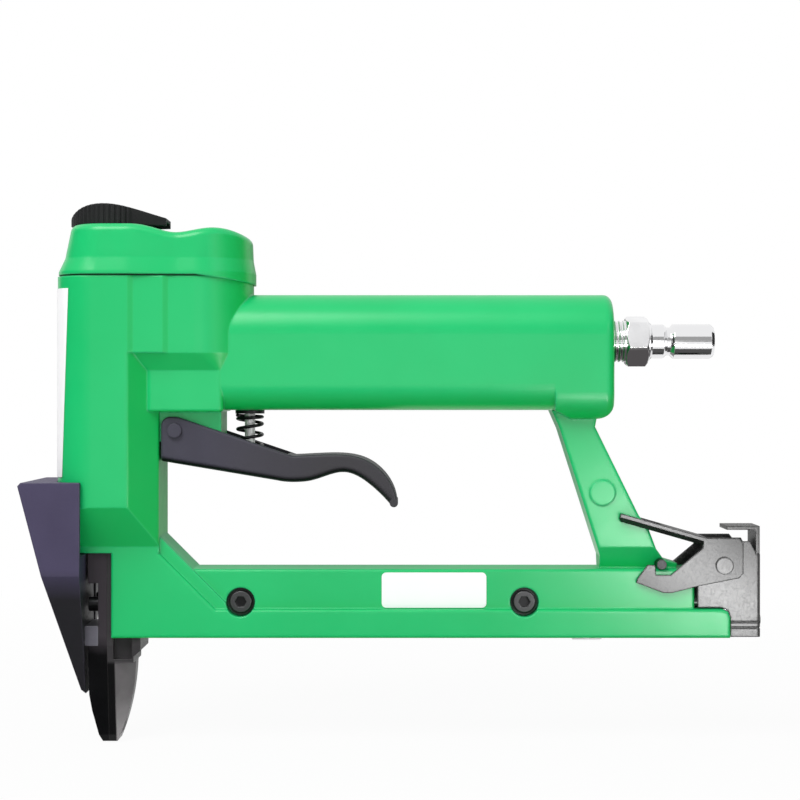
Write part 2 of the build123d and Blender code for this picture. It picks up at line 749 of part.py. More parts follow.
def make_blade():
    return blade_bar(blade_foot) - rod_x(blade_pin_radius, -blade_thickness, blade_thickness, 0, pin_level)


def make_blade_pin():
    reach = liner_inner - 2
    return rod_x(blade_pin_radius, -reach, reach, 0, pin_level)


# Main valve spool with rings and spring
spool_rings = [spool_floor + 3, spool_top - 3]


def make_spool():
    spool = rod_z(spool_radius, spool_floor, spool_top, spool_x)
    middle = (spool_floor + spool_top) / 2
    spool -= tube_z(spool_radius + 1, spool_radius - 1.6, middle - 4, middle + 4, spool_x)
    groove_half = 1.1 * seal
    groove_radius = spool_radius - 2.1 * seal
    for z in spool_rings:
        groove_floor = z - groove_half
        spool -= tube_z(spool_radius + 1, groove_radius, groove_floor, z + groove_half, spool_x)
    return spool


def make_spool_rings():
    return group([ring_z(spool_radius - 1.05 * seal, seal, z, spool_x) for z in spool_rings])


def make_spool_spring():
    return tube_z(spool_radius - 0.6, spool_radius - 1.8, spool_top, cap_floor + 4, spool_x)


# Trigger valve: bush, stem, ring and the disc that seats the trigger spring
stem_foot = seat_z + stem_play
stem_lift = (stem_x - pivot_x) * radians(trigger_swing)
stem_ring_level = handle_floor + 5


def make_bush():
    return tube_z(bush_radius, stem_radius + run_gap, handle_floor, handle_floor + bush_height, stem_x)


def make_stem():
    stem = rod_z(stem_radius, stem_foot, handle_floor + bush_height - stem_lift - stem_margin, stem_x)
    groove_radius = stem_radius - 1.7 * seal
    groove_floor = stem_ring_level - seal
    return stem - tube_z(stem_radius + 1, groove_radius, groove_floor, groove_floor + 2 * seal, stem_x)


def make_stem_ring():
    return ring_z(stem_radius - 0.8 * seal, 0.8 * seal, stem_ring_level, stem_x)


def make_spring_disc():
    return tube_z(disc_radius, stem_radius + slide_gap, disc_floor, handle_floor, stem_x)


# Trigger lever: pressed channel with a solid finger hook
def lever_outline():
    hook = lever_reach - lever_straight

    def along(share, drop):
        return pivot_x + lever_straight + share * hook, pivot_z - drop

    shoulder_end = along(0, lever_shoulder)
    keel = (pivot_x + lever_keel, pivot_z - lever_keel_drop)
    front = pivot_x - lever_eye
    reach = hypot(lever_straight, lever_shoulder)
    lift = atan2(-lever_shoulder, lever_straight) + acos(lever_eye / reach)
    brow = (pivot_x + lever_eye * cos(lift), pivot_z + lever_eye * sin(lift))
    eye_top = pivot_z + lever_eye
    sole = Polyline(keel, (front, pivot_z - lever_front), (front, eye_top - lever_corner))
    cut = lever_corner * (1 - sqrt(0.5))
    corner = ThreePointArc(
        (front, eye_top - lever_corner), (front + cut, eye_top - cut), (front + lever_corner, eye_top))
    crest = Line((front + lever_corner, eye_top), (pivot_x, eye_top))
    half_way = (pi / 2 + lift) / 2
    eye_middle = (pivot_x + lever_eye * cos(half_way), pivot_z + lever_eye * sin(half_way))
    eye = ThreePointArc((pivot_x, eye_top), eye_middle, brow)
    back = Line(brow, shoulder_end)
    tip_over = along(1, hook_drop - 2.4)
    tip_under = along(0.93, hook_drop - 1.3)
    over = Spline(
        shoulder_end, along(0.35, hook_crown), along(0.71, hook_crown + 1.8),
        along(0.96, (hook_crown + hook_drop) / 2 + 1.6), tip_over)
    tip = ThreePointArc(tip_over, along(0.985, hook_drop - 0.4), tip_under)
    under = Spline(
        tip_under, along(0.76, (hook_palm + hook_drop) / 2 - 1.2), along(0.5, hook_palm),
        along(0.18, lever_heel - 0.5), along(0.04, lever_heel), keel)
    return make_face([sole, corner, crest, eye, back, over, tip, under])


def make_lever():
    outline = lever_outline()
    lever = extrude(Plane.XZ * outline, amount=lever_half, both=True)
    sides = lever.faces().sort_by(Axis.Y)
    rims = sides[0].edges() + sides[-1].edges()
    low = rims.filter_by(lambda edge: edge.center().Z < pivot_z - lever_front)
    lever = fillet(low.filter_by(lambda edge: edge.center().X < pivot_x + 0.9 * lever_reach), lever_fold)
    rims = lever.edges().filter_by(lambda edge: abs(abs(edge.center().Y) - lever_half) < 0.01)
    high = rims.filter_by(lambda edge: edge.center().Z > pivot_z - lever_front)
    lever = fillet(high.filter_by(lambda edge: edge.center().X > pivot_x - lever_eye + 0.1), lever_bend)
    open_front = -2 * lever_eye
    inside = pivot_z - lever_front + lever_sheet
    lever -= side_prism([
        (pivot_x + open_front, inside - lever_lean * (open_front + lever_eye)),
        (pivot_x + lever_keel, inside - lever_lean * (lever_keel + lever_eye)),
        (pivot_x + lever_straight + 2, pivot_z),
        (pivot_x + open_front, pivot_z + 2 * lever_eye)], lever_half - lever_sheet)
    seat = rod_z(spring_mean + spring_wire, pivot_z - lever_heel, seat_z, stem_x)
    lever += seat & extrude(Plane.XZ * outline, amount=lever_half, both=True)
    return lever - rod_y(pin_radius + run_gap, -lever_half - 1, lever_half + 1, pivot_x, pivot_z)


def make_trigger_pin():
    reach = lever_half + 0.2
    pin = rod_y(pin_radius, -reach, reach, pivot_x, pivot_z)
    for start, end in ((-reach - pin_head_height, -reach), (reach, reach + pin_head_height)):
        pin += rod_y(pin_head, start, end, pivot_x, pivot_z)
    return pin


# Air plug: thread, hexagon, neck, collar and tube
def make_air_plug():
    hex_start = handle_end + plug_free
    neck_start = hex_start + plug_hex_length
    groove_start = neck_start + plug_neck_length
    tube_start = groove_start + plug_groove_length
    tube_end = tube_start + plug_tube_length
    start = handle_end - plug_sunk
    slope = plug_groove_length / 3
    plug = spun_x([
        (start, plug_bore), (start, plug_thread), (hex_start, plug_thread), (hex_start, plug_collar),
        (neck_start + 0.6, plug_collar), (neck_start + 1.2, plug_neck), (groove_start, plug_neck),
        (groove_start + slope, plug_groove), (tube_start - slope, plug_groove), (tube_start, plug_tube),
        (tube_end - 1, plug_tube), (tube_end, plug_tube - 0.8), (tube_end, plug_bore)], handle_axis)
    hexagon = Pos(0, handle_axis) * Rot(0, 0, 15) * RegularPolygon(plug_flats / sqrt(3), 6)
    hexagon = extrude(Plane.YZ.offset(hex_start) * hexagon, amount=plug_hex_length)
    corner = plug_flats / sqrt(3)
    hexagon &= spun_x([
        (hex_start, 0), (hex_start, plug_flats / 2), (hex_start + 0.8, corner), (neck_start - 0.8, corner),
        (neck_start, plug_flats / 2), (neck_start, 0)], handle_axis)
    plug += hexagon - rod_x(plug_bore, hex_start - 1, neck_start + 1, 0, handle_axis)
    for turn in range(int(plug_free / thread_pitch)):
        place = handle_end + (turn + 0.6) * thread_pitch
        plug -= Pos(place, 0, handle_axis) * Rot(0, 90, 0) * Torus(plug_thread + 0.1, 0.5)
    return plug


# Trigger spring: one wire along biarcs, with straight square ends
def biarc(start, start_way, end, end_way):
    span = end - start
    bend = 2 * (start_way.dot(end_way) - 1)
    lead = -2 * span.dot(start_way + end_way)
    reach = (-lead - sqrt(lead * lead - 4 * bend * span.dot(span))) / (2 * bend)
    leave = start + start_way * reach
    meet = end - end_way * reach
    middle = (leave + meet) * 0.5
    return [TangentArc(start, middle, tangent=start_way), TangentArc(middle, end, tangent=meet - leave)]


def coil_stations(axis_x, radius, floor, top, turns):
    steps = 4 * turns
    stations = []
    for step in range(steps + 1):
        angle = pi / 2 * step
        height = floor + (top - floor) * step / steps
        climb = (top - floor) / (2 * pi * turns)
        way = Vector(-radius * sin(angle), radius * cos(angle), climb).normalized()
        stations.append((Vector(axis_x + radius * cos(angle), radius * sin(angle), height), way))
    return stations


def least_gap(path, wire):
    count = int(path.length / wire) * 3
    points = [path.position_at(index / count) for index in range(count + 1)]
    apart = int(3 * pi * wire / (path.length / count))
    spans = [
        (points[first] - points[second]).length
        for first in range(count + 1) for second in range(first + apart, count + 1)]
    return min(spans) - wire


def make_trigger_spring():
    bend = 2 * spring_wire
    up = Vector(0, 0, 1)
    stations = coil_stations(
        stem_x, spring_mean, seat_z + spring_wire + bend, disc_floor - spring_wire - bend, spring_turns)
    first, first_way = stations[0]
    last, last_way = stations[-1]
    foot = first - first_way * bend - up * bend
    crown = last + last_way * bend + up * bend
    foot = Vector(foot.X, foot.Y, seat_z + spring_wire)
    crown = Vector(crown.X, crown.Y, disc_floor - spring_wire)
    stations = [(foot, up)] + stations + [(crown, up)]
    edges = [Line(Vector(foot.X, foot.Y, seat_z), foot)]
    for (start, start_way), (end, end_way) in zip(stations, stations[1:]):
        edges += biarc(start, start_way, end, end_way)
    edges.append(Line(crown, Vector(crown.X, crown.Y, disc_floor)))
    path = Wire(edges)
    print("trigger spring: least gap to itself", round(least_gap(path, spring_wire), 2))
    section = Plane(origin=path.position_at(0), z_dir=up) * Circle(spring_wire / 2)
    return sweep(section, path=path)


# Nose: two drive guides, a spacer, the guard and their screws
guard_half = lobe_half + slide_gap + guard_wall
guard_seat = -guide_front - 1.2
guard_screw_z = spacer_floor + spacer_height / 2
guard_screw_seat = -guard_crease_reach * 0.55


def nose_taper():
    face = make_face(Polyline(
        (-tip_half, 0), (-nose_half, spacer_floor), (-nose_half, nose_top),
        (nose_half, nose_top), (nose_half, spacer_floor), (tip_half, 0), close=True))
    return extrude(Plane.YZ.offset(-guard_reach) * face, amount=3 * guard_reach)


def drive_channel():
    return box_between((-channel_depth, -channel_half, -1), (channel_depth, channel_half, nose_top + 1))


def nose_screw_holes():
    hole = rod_x(nose_screw_radius + run_gap, -guide_front - 2, pad_front + 1, 0, nose_screw_height)
    return Pos(0, -nose_screw_half, 0) * hole + Pos(0, nose_screw_half, 0) * hole


def make_front_guide():
    window_top = nose_top - 9.3
    guide = side_prism([
        (0, 0), (-tip_front, 0), (-tip_front - 1.2, 2), (-guide_front + 0.8, guard_foot - 5),
        (-guide_front, guard_foot), (-guide_front, spacer_floor), (-guide_strip, spacer_floor),
        (-guide_strip, window_top), (-guide_front, window_top), (-guide_front, nose_top), (0, nose_top)],
        nose_half)
    guide &= nose_taper()
    return guide - drive_channel() - nose_screw_holes()


def flank_cut(side):
    spread = nose_half - tip_half
    out = Vector(0, side * spacer_floor, -spread).normalized()
    turn = radians(flank_turn)
    plane = Plane(
        origin=(flank_start, side * tip_half, 0), x_dir=Vector(0, side * spread, spacer_floor),
        z_dir=out * cos(turn) + Vector(sin(turn), 0, 0))
    wedge = plane * Pos(0, 0, guard_height / 2) * Box(3 * guard_height, 3 * guard_height, guard_height)
    return wedge & box_between(
        (0, -guard_height, -1), (guard_height, guard_height, beam_floor - flank_drop))


def make_rear_guide():
    heel = (guide_foot_rear - 2.2, beam_floor - 5.9)
    curve = ThreePointArc((tip_rear, 0), (guide_belly, 0.36 * heel[1]), heel)
    rest = Polyline(
        heel, (guide_foot_rear, beam_floor - 4), (guide_foot_rear, beam_floor), (pad_front, beam_floor),
        (pad_front, nose_top), (0, nose_top), (0, 0), (tip_rear, 0))
    guide = extrude(Plane.XZ * make_face([curve, rest]), amount=nose_half, both=True)
    guide &= nose_taper()
    for side in (-1, 1):
        guide -= flank_cut(side)
        near, far = sorted((side * (nose_half - pocket_depth), side * (nose_half + 1)))
        guide -= box_between(
            (flank_start - 0.4, near, beam_floor - pocket_height), (heel[0] - 0.4, far, beam_floor))
    guide -= box_between((-1, -channel_half, feed_floor), (pad_front + 1, channel_half, feed_top))
    return guide - drive_channel() - nose_screw_holes()


def make_spacer():
    block = box_between(
        (guard_seat, -nose_half, spacer_floor), (-guide_strip, nose_half, spacer_floor + spacer_height))
    return block - rod_x(nose_screw_radius + run_gap, guard_seat - 1, 0, 0, guard_screw_z)


def make_guard():
    guard = side_prism([
        (-guard_back_foot, guard_foot), (-guide_front - 2.6, guard_foot + 1.4),
        (-guard_crease_reach, guard_crease), (-guard_reach, guard_height - 1),
        (-guard_reach + 0.9, guard_height), (-guard_back, guard_height), (-guard_back, nose_top)],
        guard_half)
    guard &= extrude(Plane.YZ.offset(-guard_reach - 1) * make_face(Polyline(
        (-guard_foot_half, guard_foot), (-guard_half, guard_crease), (-guard_half, guard_height),
        (guard_half, guard_height), (guard_half, guard_crease), (guard_foot_half, guard_foot), close=True)),
        amount=guard_reach + 2)
    lean = (guard_reach - guard_crease_reach) / (guard_height - guard_crease)
    pocket_floor = nose_top - slide_gap
    pocket_front = -guard_crease_reach - lean * (pocket_floor - guard_crease) + 1.5 * guard_wall
    guard -= side_prism([
        (pocket_front, pocket_floor), (-guard_reach + 1.5 * guard_wall, guard_height - guard_wall),
        (0, guard_height - guard_wall), (0, pocket_floor)], guard_half - guard_wall)
    guard -= extrude(Plane.XY.offset(pocket_floor) * leg_plan(slide_gap), amount=guard_height)
    nose_room = nose_half + 2 * slide_gap
    guard -= box_between((guard_seat, -nose_room, 0), (0, nose_room, nose_top))
    guard -= rod_x(nose_screw_radius + run_gap, guard_screw_seat - 1, 0, 0, guard_screw_z)
    return guard - rod_x(nose_screw_head + slide_gap, -guard_reach, guard_screw_seat, 0, guard_screw_z)


def socket_screw_x(seat, end, head_height):
    crown = seat - head_height
    screw = rod_x(nose_screw_radius, seat, end, 0, 0) + rod_x(nose_screw_head, crown, seat, 0, 0)
    return screw - extrude(Plane.YZ.offset(crown) * RegularPolygon(nose_socket, 6), amount=head_height / 2)


def make_nose_screws():
    screw = socket_screw_x(-guide_strip, nose_screw_end - slide_gap, 3)
    return group([Pos(0, side * nose_screw_half, nose_screw_height) * screw for side in (-1, 1)])


def make_guard_screw():
    return Pos(0, 0, guard_screw_z) * socket_screw_x(guard_screw_seat, -guide_strip, 1.2)


# Magazine: fixed channel, drawer tray, pusher, rod and spring
def make_channel():
    outer = cavity_half - run_gap
    inner = outer - tray_wall
    front = pad_front + slide_gap
    channel = box_between((front, -outer, tray_top + slide_gap), (panel_rear, outer, cavity_roof))
    roof = cavity_roof - tray_wall
    channel -= box_between((front - 1, -inner, tray_floor), (panel_rear + 1, inner, roof))
    for x in beam_screw_places:
        channel -= rod_y(beam_screw_shank + run_gap, -cavity_half - 1, cavity_half + 1, x, beam_screw_z)
    return channel


def rivet_places():
    return [(side * rivet_half, rod_z_level - 2) for side in (-1, 1)]


def make_tray():
    tray = box_between((tray_front, -tray_half, tray_floor), (plate_front, tray_half, tray_top))
    inner = tray_half - tray_wall
    tray -= box_between(
        (tray_front - 1, -inner, tray_floor + tray_wall), (plate_front - tray_wall, inner, tray_top + 1))
    tab_half = rail_half - slide_gap
    tray += box_between(
        (tab_front, -tab_half, beam_floor - tab_drop), (tab_front + tab_length, tab_half, tray_floor))
    tray -= rod_x(rod_radius + run_gap, plate_front - 3, plate_front + 1, 0, rod_z_level)
    for y, z in rivet_places():
        tray -= rod_x(rivet_radius + run_gap, plate_front - 3, plate_front + 1, y, z)
    return tray


pusher_front = tray_front + slide_gap
pusher_rear = pusher_front + pusher_length


def make_pusher():
    floor = tray_floor + tray_wall + slide_gap
    top = cavity_roof - tray_wall - 2 * slide_gap
    pusher = side_prism([
        (pusher_front, floor), (pusher_front, top), (pusher_front + pusher_length / 2, top),
        (pusher_rear, tray_top), (pusher_rear, floor)], pusher_half)
    return pusher - rod_x(rod_radius + run_gap, pusher_front - 1, pusher_rear + 1, 0, rod_z_level)


def make_pusher_rod():
    return rod_x(rod_radius, pusher_front + pusher_length / 4, bracket_rear, 0, rod_z_level)


def make_pusher_spring():
    front = pusher_rear
    rear = plate_front - tray_wall
    sleeve = rod_x(pusher_spring_outer, front, rear, 0, rod_z_level)
    return sleeve - rod_x(rod_radius + slide_gap, front - 1, rear + 1, 0, rod_z_level)


def make_rivets():
    rivet = rod_x(rivet_radius, plate_front - tray_wall, bracket_rear, 0, 0)
    rivet += rod_x(1.7 * rivet_radius, bracket_rear, bracket_rear + 0.7, 0, 0)
    return group([Pos(0, y, z) * rivet for y, z in rivet_places()])


# Screws in the side of the beam
def make_beam_screws():
    head_top = screw_floor + beam_screw_sink - 0.2
    screw = rod_z(beam_screw_shank, cavity_half - tray_wall + 0.1, screw_floor)
    screw += rod_z(beam_screw_head, screw_floor, head_top)
    screw = chamfer(screw.edges().group_by(Axis.Z)[-1], 0.4)
    screw -= hex_pocket(hex_socket * 1.15, head_top - 1.5, head_top + 1)
    screws = []
    for x in beam_screw_places:
        for turn in (90, -90):
            screws.append(Pos(x, 0, beam_screw_z) * Rot(turn, 0, 0) * screw)
    return group(screws)


# Rear bracket: two cheeks, a back plate and a finger lip from one sheet
def make_bracket():
    clear = slide_gap + 0.1
    ledge = strip_top + clear
    foot = beam_floor + 0.1
    shoulder_z = bracket_top - 4
    step_x = beam_reach + clear
    cheek = [
        (bracket_front, ledge), *round_corner(step_x, ledge, strip_corner + clear), (step_x, foot),
        (plate_front, foot), (plate_front, shoulder_z), (plate_front - 2, bracket_top),
        (latch_pivot_x - 2.3, bracket_top),
        (bracket_front, latch_pivot_z + 0.7)]
    inner = panel_half - sheet
    bracket = side_plate(cheek, -panel_half, -inner) + side_plate(cheek, inner, panel_half)
    lip_front = bracket_rear - lip_length
    bracket += box_between((plate_front, -panel_half, foot), (bracket_rear, panel_half, shoulder_z))
    bracket += box_between((plate_front, -lip_half, shoulder_z - 1), (bracket_rear, lip_half, lip_height))
    bracket += box_between((lip_front, -lip_half, lip_height - sheet), (bracket_rear, lip_half, lip_height))
    bracket += box_between((step_x, -panel_half, foot), (bracket_rear, panel_half, foot + sheet))
    upright = bracket.edges().filter_by(Axis.Z)
    bends = upright.filter_by(lambda edge: abs(edge.center().X - bracket_rear) < 0.01)
    bracket = fillet(bends.filter_by(lambda edge: abs(edge.center().Y) > lip_half + 0.1), bracket_bend)
    for level in (1, 2):
        groove_floor = foot + (level + 0.5) * hem_pitch
        groove_top = groove_floor + hem_groove
        depth = sheet / 4
        groove = box_between(
            (step_x, -panel_half - 1, groove_floor), (bracket_rear + 1, panel_half + 1, groove_top))
        inner = panel_half - depth
        bracket -= groove - box_between(
            (step_x, -inner, groove_floor), (bracket_rear - depth, inner, groove_top))
    bracket -= rod_y(latch_pin_radius, -panel_half - 1, panel_half + 1, latch_pivot_x, latch_pivot_z)
    bracket -= rod_x(rod_radius + run_gap, plate_front - 1, bracket_rear + 1, 0, rod_z_level)
    for y, z in rivet_places():
        bracket -= rod_x(rivet_radius + run_gap, plate_front - 1, bracket_rear + 1, y, z)
    return bracket


# Latch: two hooked plates joined by a forked thumb bar
def make_latch():
    def at(x, z):
        return latch_pivot_x + x, latch_pivot_z + z

    tooth_back = -catch_reach - catch_radius - slide_gap
    notch = catch_rise - catch_radius - slide_gap - hook_bite
    sole = -hook_belly
    plate = [
        at(-hook_reach, sole + 3.1), at(tooth_back + 2.3, sole), at(tooth_back + 5, sole),
        at(-latch_crest, sole + 1.9), at(latch_heel - 1.3, sole + 4.5), at(latch_heel, sole + 5.9),
        at(latch_heel, latch_crest - 1.5), at(latch_heel - 1.2, latch_crest),
        at(-latch_heel - 0.5, latch_crest), at(-latch_heel - 0.7, latch_crest - 3.1),
        at(tooth_back + 4.6, notch), at(tooth_back, notch), at(tooth_back - 0.2, catch_rise - 0.2),
        at(tooth_back - 2.5, catch_rise - 0.1), at(-hook_reach + 0.3, sole + 4.2)]
    latch = side_plate(plate, -latch_half, -latch_inner) + side_plate(plate, latch_inner, latch_half)
    thumb_end = thumb_reach - 0.5
    thumb_top = latch_crest - 3.1 + thumb_rise * thumb_reach
    thumb_foot = -latch_heel + 0.9
    bar = [
        at(-thumb_reach, thumb_top + 1), at(-thumb_end, thumb_top + thumb_thickness),
        at(thumb_foot, latch_crest - 0.1), at(thumb_foot, latch_crest - 0.1 - thumb_thickness),
        at(-thumb_end, thumb_top)]
    thumb = side_prism(bar, latch_half)
    long_edges = thumb.edges().filter_by(lambda edge: edge.length > thumb_reach / 2)
    outer_edges = long_edges.filter_by(lambda edge: abs(edge.center().Y) > latch_inner)
    thumb = chamfer(outer_edges.sort_by(Axis.Z)[:2], thumb_bevel)
    fork = strut_half + 2 * slide_gap
    slot_rear = ear_rear - 4.0
    thumb -= box_between(
        (slot_rear - thumb_reach, -fork, latch_pivot_z), (slot_rear, fork, latch_pivot_z + thumb_reach))
    latch += thumb
    reach = latch_half + 1
    return latch - rod_y(latch_pin_radius + run_gap, -reach, reach, latch_pivot_x, latch_pivot_z)


def make_latch_pin():
    reach = latch_half + 0.2
    pin = rod_y(latch_pin_radius, -reach, reach, latch_pivot_x, latch_pivot_z)
    for start, end in ((-reach - 0.8, -reach), (reach, reach + 0.8)):
        pin += rod_y(latch_pin_head, start, end, latch_pivot_x, latch_pivot_z)
    return pin


def make_latch_spring():
    reach = panel_half - sheet - slide_gap
    coil = rod_y(latch_pin_radius + 1.4, -reach, reach, latch_pivot_x, latch_pivot_z)
    return coil - rod_y(latch_pin_radius + slide_gap, -reach - 1, reach + 1, latch_pivot_x, latch_pivot_z)


def make_catch_pin():
    reach = latch_half + 0.2
    return rod_y(catch_radius, -reach, reach, catch_x, catch_z)


# Plain labels
def make_side_label():
    floor = strip_top + 0.3
    height = panel_height - 1.3
    plate = RectangleRounded(label_length, height, label_corner)
    plate = Pos(label_front + label_length / 2, floor + height / 2) * plate
    return extrude(Plane.XZ.offset(panel_half) * plate, amount=label_thickness)


def make_front_label():
    skin = lobe_plan(label_thickness) - lobe_plan()
    label = extrude(Plane.XY.offset(front_label_floor) * skin, amount=front_label_height)
    label_top = front_label_floor + front_label_height
    return label & side_prism([
        (-2 * head_front, front_label_floor), (-head_front + front_label_foot_wrap, front_label_floor),
        (-head_front + front_label_wrap, label_top), (-2 * head_front, label_top)], lobe_half)


os.makedirs("parts", exist_ok=True)
save("housing", make_housing())
save("head_cap", make_head_cap())
save("head_gasket", make_head_gasket())
save("head_screws", make_head_screws())
save("exhaust_deflector", make_deflector())
save("deflector_washer", make_deflector_washer())
save("deflector_screw", make_deflector_screw())
save("cylinder_liner", make_liner())
save("liner_o_rings", make_liner_rings())
save("bumper", make_bumper())
save("piston", make_piston())
save("piston_o_ring", make_piston_ring())
save("driver_blade", make_blade())
save("blade_pin", make_blade_pin())
save("main_valve_spool", make_spool())
save("spool_o_rings", make_spool_rings())
save("spool_spring", make_spool_spring())
save("trigger_valve_bush", make_bush())
save("trigger_valve_stem", make_stem())
save("stem_o_ring", make_stem_ring())
save("spring_disc", make_spring_disc())
save("trigger_lever", make_lever())
save("trigger_pin", make_trigger_pin())
save("air_plug", make_air_plug())
save("trigger_spring", make_trigger_spring())
save("nose_front_guide", make_front_guide())
save("nose_rear_guide", make_rear_guide())
save("nose_spacer", make_spacer())
save("nose_guard", make_guard())
save("nose_screws", make_nose_screws())
save("guard_screw", make_guard_screw())
save("magazine_channel", make_channel())
save("magazine_tray", make_tray())
save("pusher", make_pusher())
save("pusher_rod", make_pusher_rod())
save("pusher_spring", make_pusher_spring())
save("bracket_rivets", make_rivets())
save("beam_screws", make_beam_screws())
save("rear_bracket", make_bracket())
save("latch_lever", make_latch())
save("latch_pin", make_latch_pin())
save("latch_spring", make_latch_spring())
save("catch_pin", make_catch_pin())
save("side_label", make_side_label())
save("front_label", make_front_label())
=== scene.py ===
import math

import bpy
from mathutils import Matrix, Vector


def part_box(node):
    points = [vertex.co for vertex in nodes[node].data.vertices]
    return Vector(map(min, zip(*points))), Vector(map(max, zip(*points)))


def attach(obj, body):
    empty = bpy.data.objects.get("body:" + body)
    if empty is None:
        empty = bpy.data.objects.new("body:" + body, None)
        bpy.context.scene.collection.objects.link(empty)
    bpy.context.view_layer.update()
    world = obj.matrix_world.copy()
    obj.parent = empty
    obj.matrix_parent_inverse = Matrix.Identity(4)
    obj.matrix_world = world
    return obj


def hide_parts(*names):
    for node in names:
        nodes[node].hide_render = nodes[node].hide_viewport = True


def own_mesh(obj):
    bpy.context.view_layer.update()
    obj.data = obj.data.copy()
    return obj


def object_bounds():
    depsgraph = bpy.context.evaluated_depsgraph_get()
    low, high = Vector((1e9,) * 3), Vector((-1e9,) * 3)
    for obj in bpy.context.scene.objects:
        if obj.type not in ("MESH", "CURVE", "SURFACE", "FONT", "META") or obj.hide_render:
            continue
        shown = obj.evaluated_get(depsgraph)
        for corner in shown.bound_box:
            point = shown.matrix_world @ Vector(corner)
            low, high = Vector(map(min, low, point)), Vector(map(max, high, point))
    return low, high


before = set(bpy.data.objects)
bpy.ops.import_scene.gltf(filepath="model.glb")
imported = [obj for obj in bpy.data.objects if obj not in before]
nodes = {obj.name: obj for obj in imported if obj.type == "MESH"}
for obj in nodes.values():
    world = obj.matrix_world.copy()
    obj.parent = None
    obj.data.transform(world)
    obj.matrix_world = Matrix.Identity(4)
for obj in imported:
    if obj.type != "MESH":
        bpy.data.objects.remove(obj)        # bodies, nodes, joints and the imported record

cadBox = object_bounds()
partMiddle = (cadBox[0] + cadBox[1]) / 2
mm = 0.001
white = (1, 1, 1, 1)
black = (0, 0, 0, 1)
print("frame loaded:", len(nodes), "nodes")


# small helpers for node trees
def newMaterial(name):
    material = bpy.data.materials.new(name)
    material.use_nodes = True
    return material, material.node_tree.nodes["Principled BSDF"]


def feed(tree, socket, value):   # a link from another socket, or a fixed value
    if isinstance(value, bpy.types.NodeSocket):
        tree.links.new(value, socket)
    else:
        socket.default_value = value


def addNode(tree, kind, **values):   # the node's own settings and its sockets, by name
    node = tree.nodes.new(kind)
    for key, value in values.items():
        if hasattr(node, key):
            setattr(node, key, value)
        else:
            feed(tree, node.inputs[key], value)
    return node


def newGroup(name, inputs, outputs):
    group = bpy.data.node_groups.new(name, "ShaderNodeTree")
    for side, sockets in (("INPUT", inputs), ("OUTPUT", outputs)):
        for label, kind in sockets.items():
            group.interface.new_socket(label, in_out=side, socket_type="NodeSocket" + kind)
    return group, group.nodes.new("NodeGroupInput"), group.nodes.new("NodeGroupOutput")


def useGroup(tree, group, **values):
    return addNode(tree, "ShaderNodeGroup", node_tree=group, **values)


def mathNode(tree, operation, *values):
    node = addNode(tree, "ShaderNodeMath", operation=operation)
    for socket, value in zip(node.inputs, values):
        feed(tree, socket, value)
    return node.outputs[0]


def vectorNode(tree, operation, first, second, result="Value"):
    node = addNode(tree, "ShaderNodeVectorMath", operation=operation)
    feed(tree, node.inputs[0], first)
    feed(tree, node.inputs[1], second)
    return node.outputs[result]


def rangeNode(tree, value, fromLow, fromHigh, toLow=0.0, toHigh=1.0):
    node = addNode(tree, "ShaderNodeMapRange")
    for socket, number in zip(node.inputs, (value, fromLow, fromHigh, toLow, toHigh)):
        feed(tree, socket, number)
    return node.outputs[0]


def mixColour(tree, share, first, second):
    node = addNode(tree, "ShaderNodeMix", data_type="RGBA")
    for index, value in ((0, share), (6, first), (7, second)):   # 6 and 7 are the two colours
        feed(tree, node.inputs[index], value)
    return node.outputs[2]


def mixShaders(tree, share, first, second, outputNode):
    mix = addNode(tree, "ShaderNodeMixShader")
    for socket, value in zip(mix.inputs, (share, first.outputs[0], second.outputs[0])):
        feed(tree, socket, value)
    feed(tree, tree.nodes[outputNode].inputs["Surface"], mix.outputs[0])


# effects that the finishes share, one node group each
effects = {
    "edgeSamples": 6, "edgeBend": (0.01, 0.16),   # bend of the normal, from no mark to a full one
    "slowDetail": 3.0, "quickDetail": 2.0, "brushDetail": 3.0,
    "noiseBand": (0.3, 0.7),      # where most of a noise lies
    "zoneWaver": 0.15,            # how far a zone's border wavers, as a share of its width
    "facingBand": (0.15, 0.6)}    # from looking aside to looking the stated way
noiseBand = effects["noiseBand"]


# edge mask: where the rounded normal leaves the face's own
def makeEdgeGroup():
    group, start, end = newGroup("edgeSense", {"Radius": "Float"}, {"Mask": "Float", "Normal": "Vector"})
    bevel = addNode(group, "ShaderNodeBevel", samples=effects["edgeSamples"], Radius=start.outputs["Radius"])
    face = addNode(group, "ShaderNodeNewGeometry")
    along = vectorNode(group, "DOT_PRODUCT", bevel.outputs[0], face.outputs["Normal"])
    bend = mathNode(group, "SUBTRACT", 1.0, along)
    feed(group, end.inputs["Mask"], rangeNode(group, bend, *effects["edgeBend"]))
    feed(group, end.inputs["Normal"], bevel.outputs[0])
    return group


# mottle: slow and quick noise, each around one half
def makeMottleGroup():
    bands = {"Slow": "Float", "Quick": "Float"}   # scales go in, noise comes out
    group, start, end = newGroup("mottle", bands, bands)
    place = addNode(group, "ShaderNodeTexCoord")
    for label, detail in (("Slow", effects["slowDetail"]), ("Quick", effects["quickDetail"])):
        noise = addNode(
            group, "ShaderNodeTexNoise", Vector=place.outputs["Object"], Scale=start.outputs[label],
            Detail=detail)
        feed(group, end.inputs[label], noise.outputs[0])
    return group


# brushed: noise drawn out along one axis
def makeBrushGroup():
    group, start, end = newGroup("brushed", {"Stretch": "Vector"}, {"Lines": "Float"})
    place = addNode(group, "ShaderNodeTexCoord")
    drawn = vectorNode(group, "MULTIPLY", place.outputs["Object"], start.outputs["Stretch"], "Vector")
    noise = addNode(group, "ShaderNodeTexNoise", Vector=drawn, Scale=1.0, Detail=effects["brushDetail"])
    feed(group, end.inputs["Lines"], noise.outputs[0])
    return group


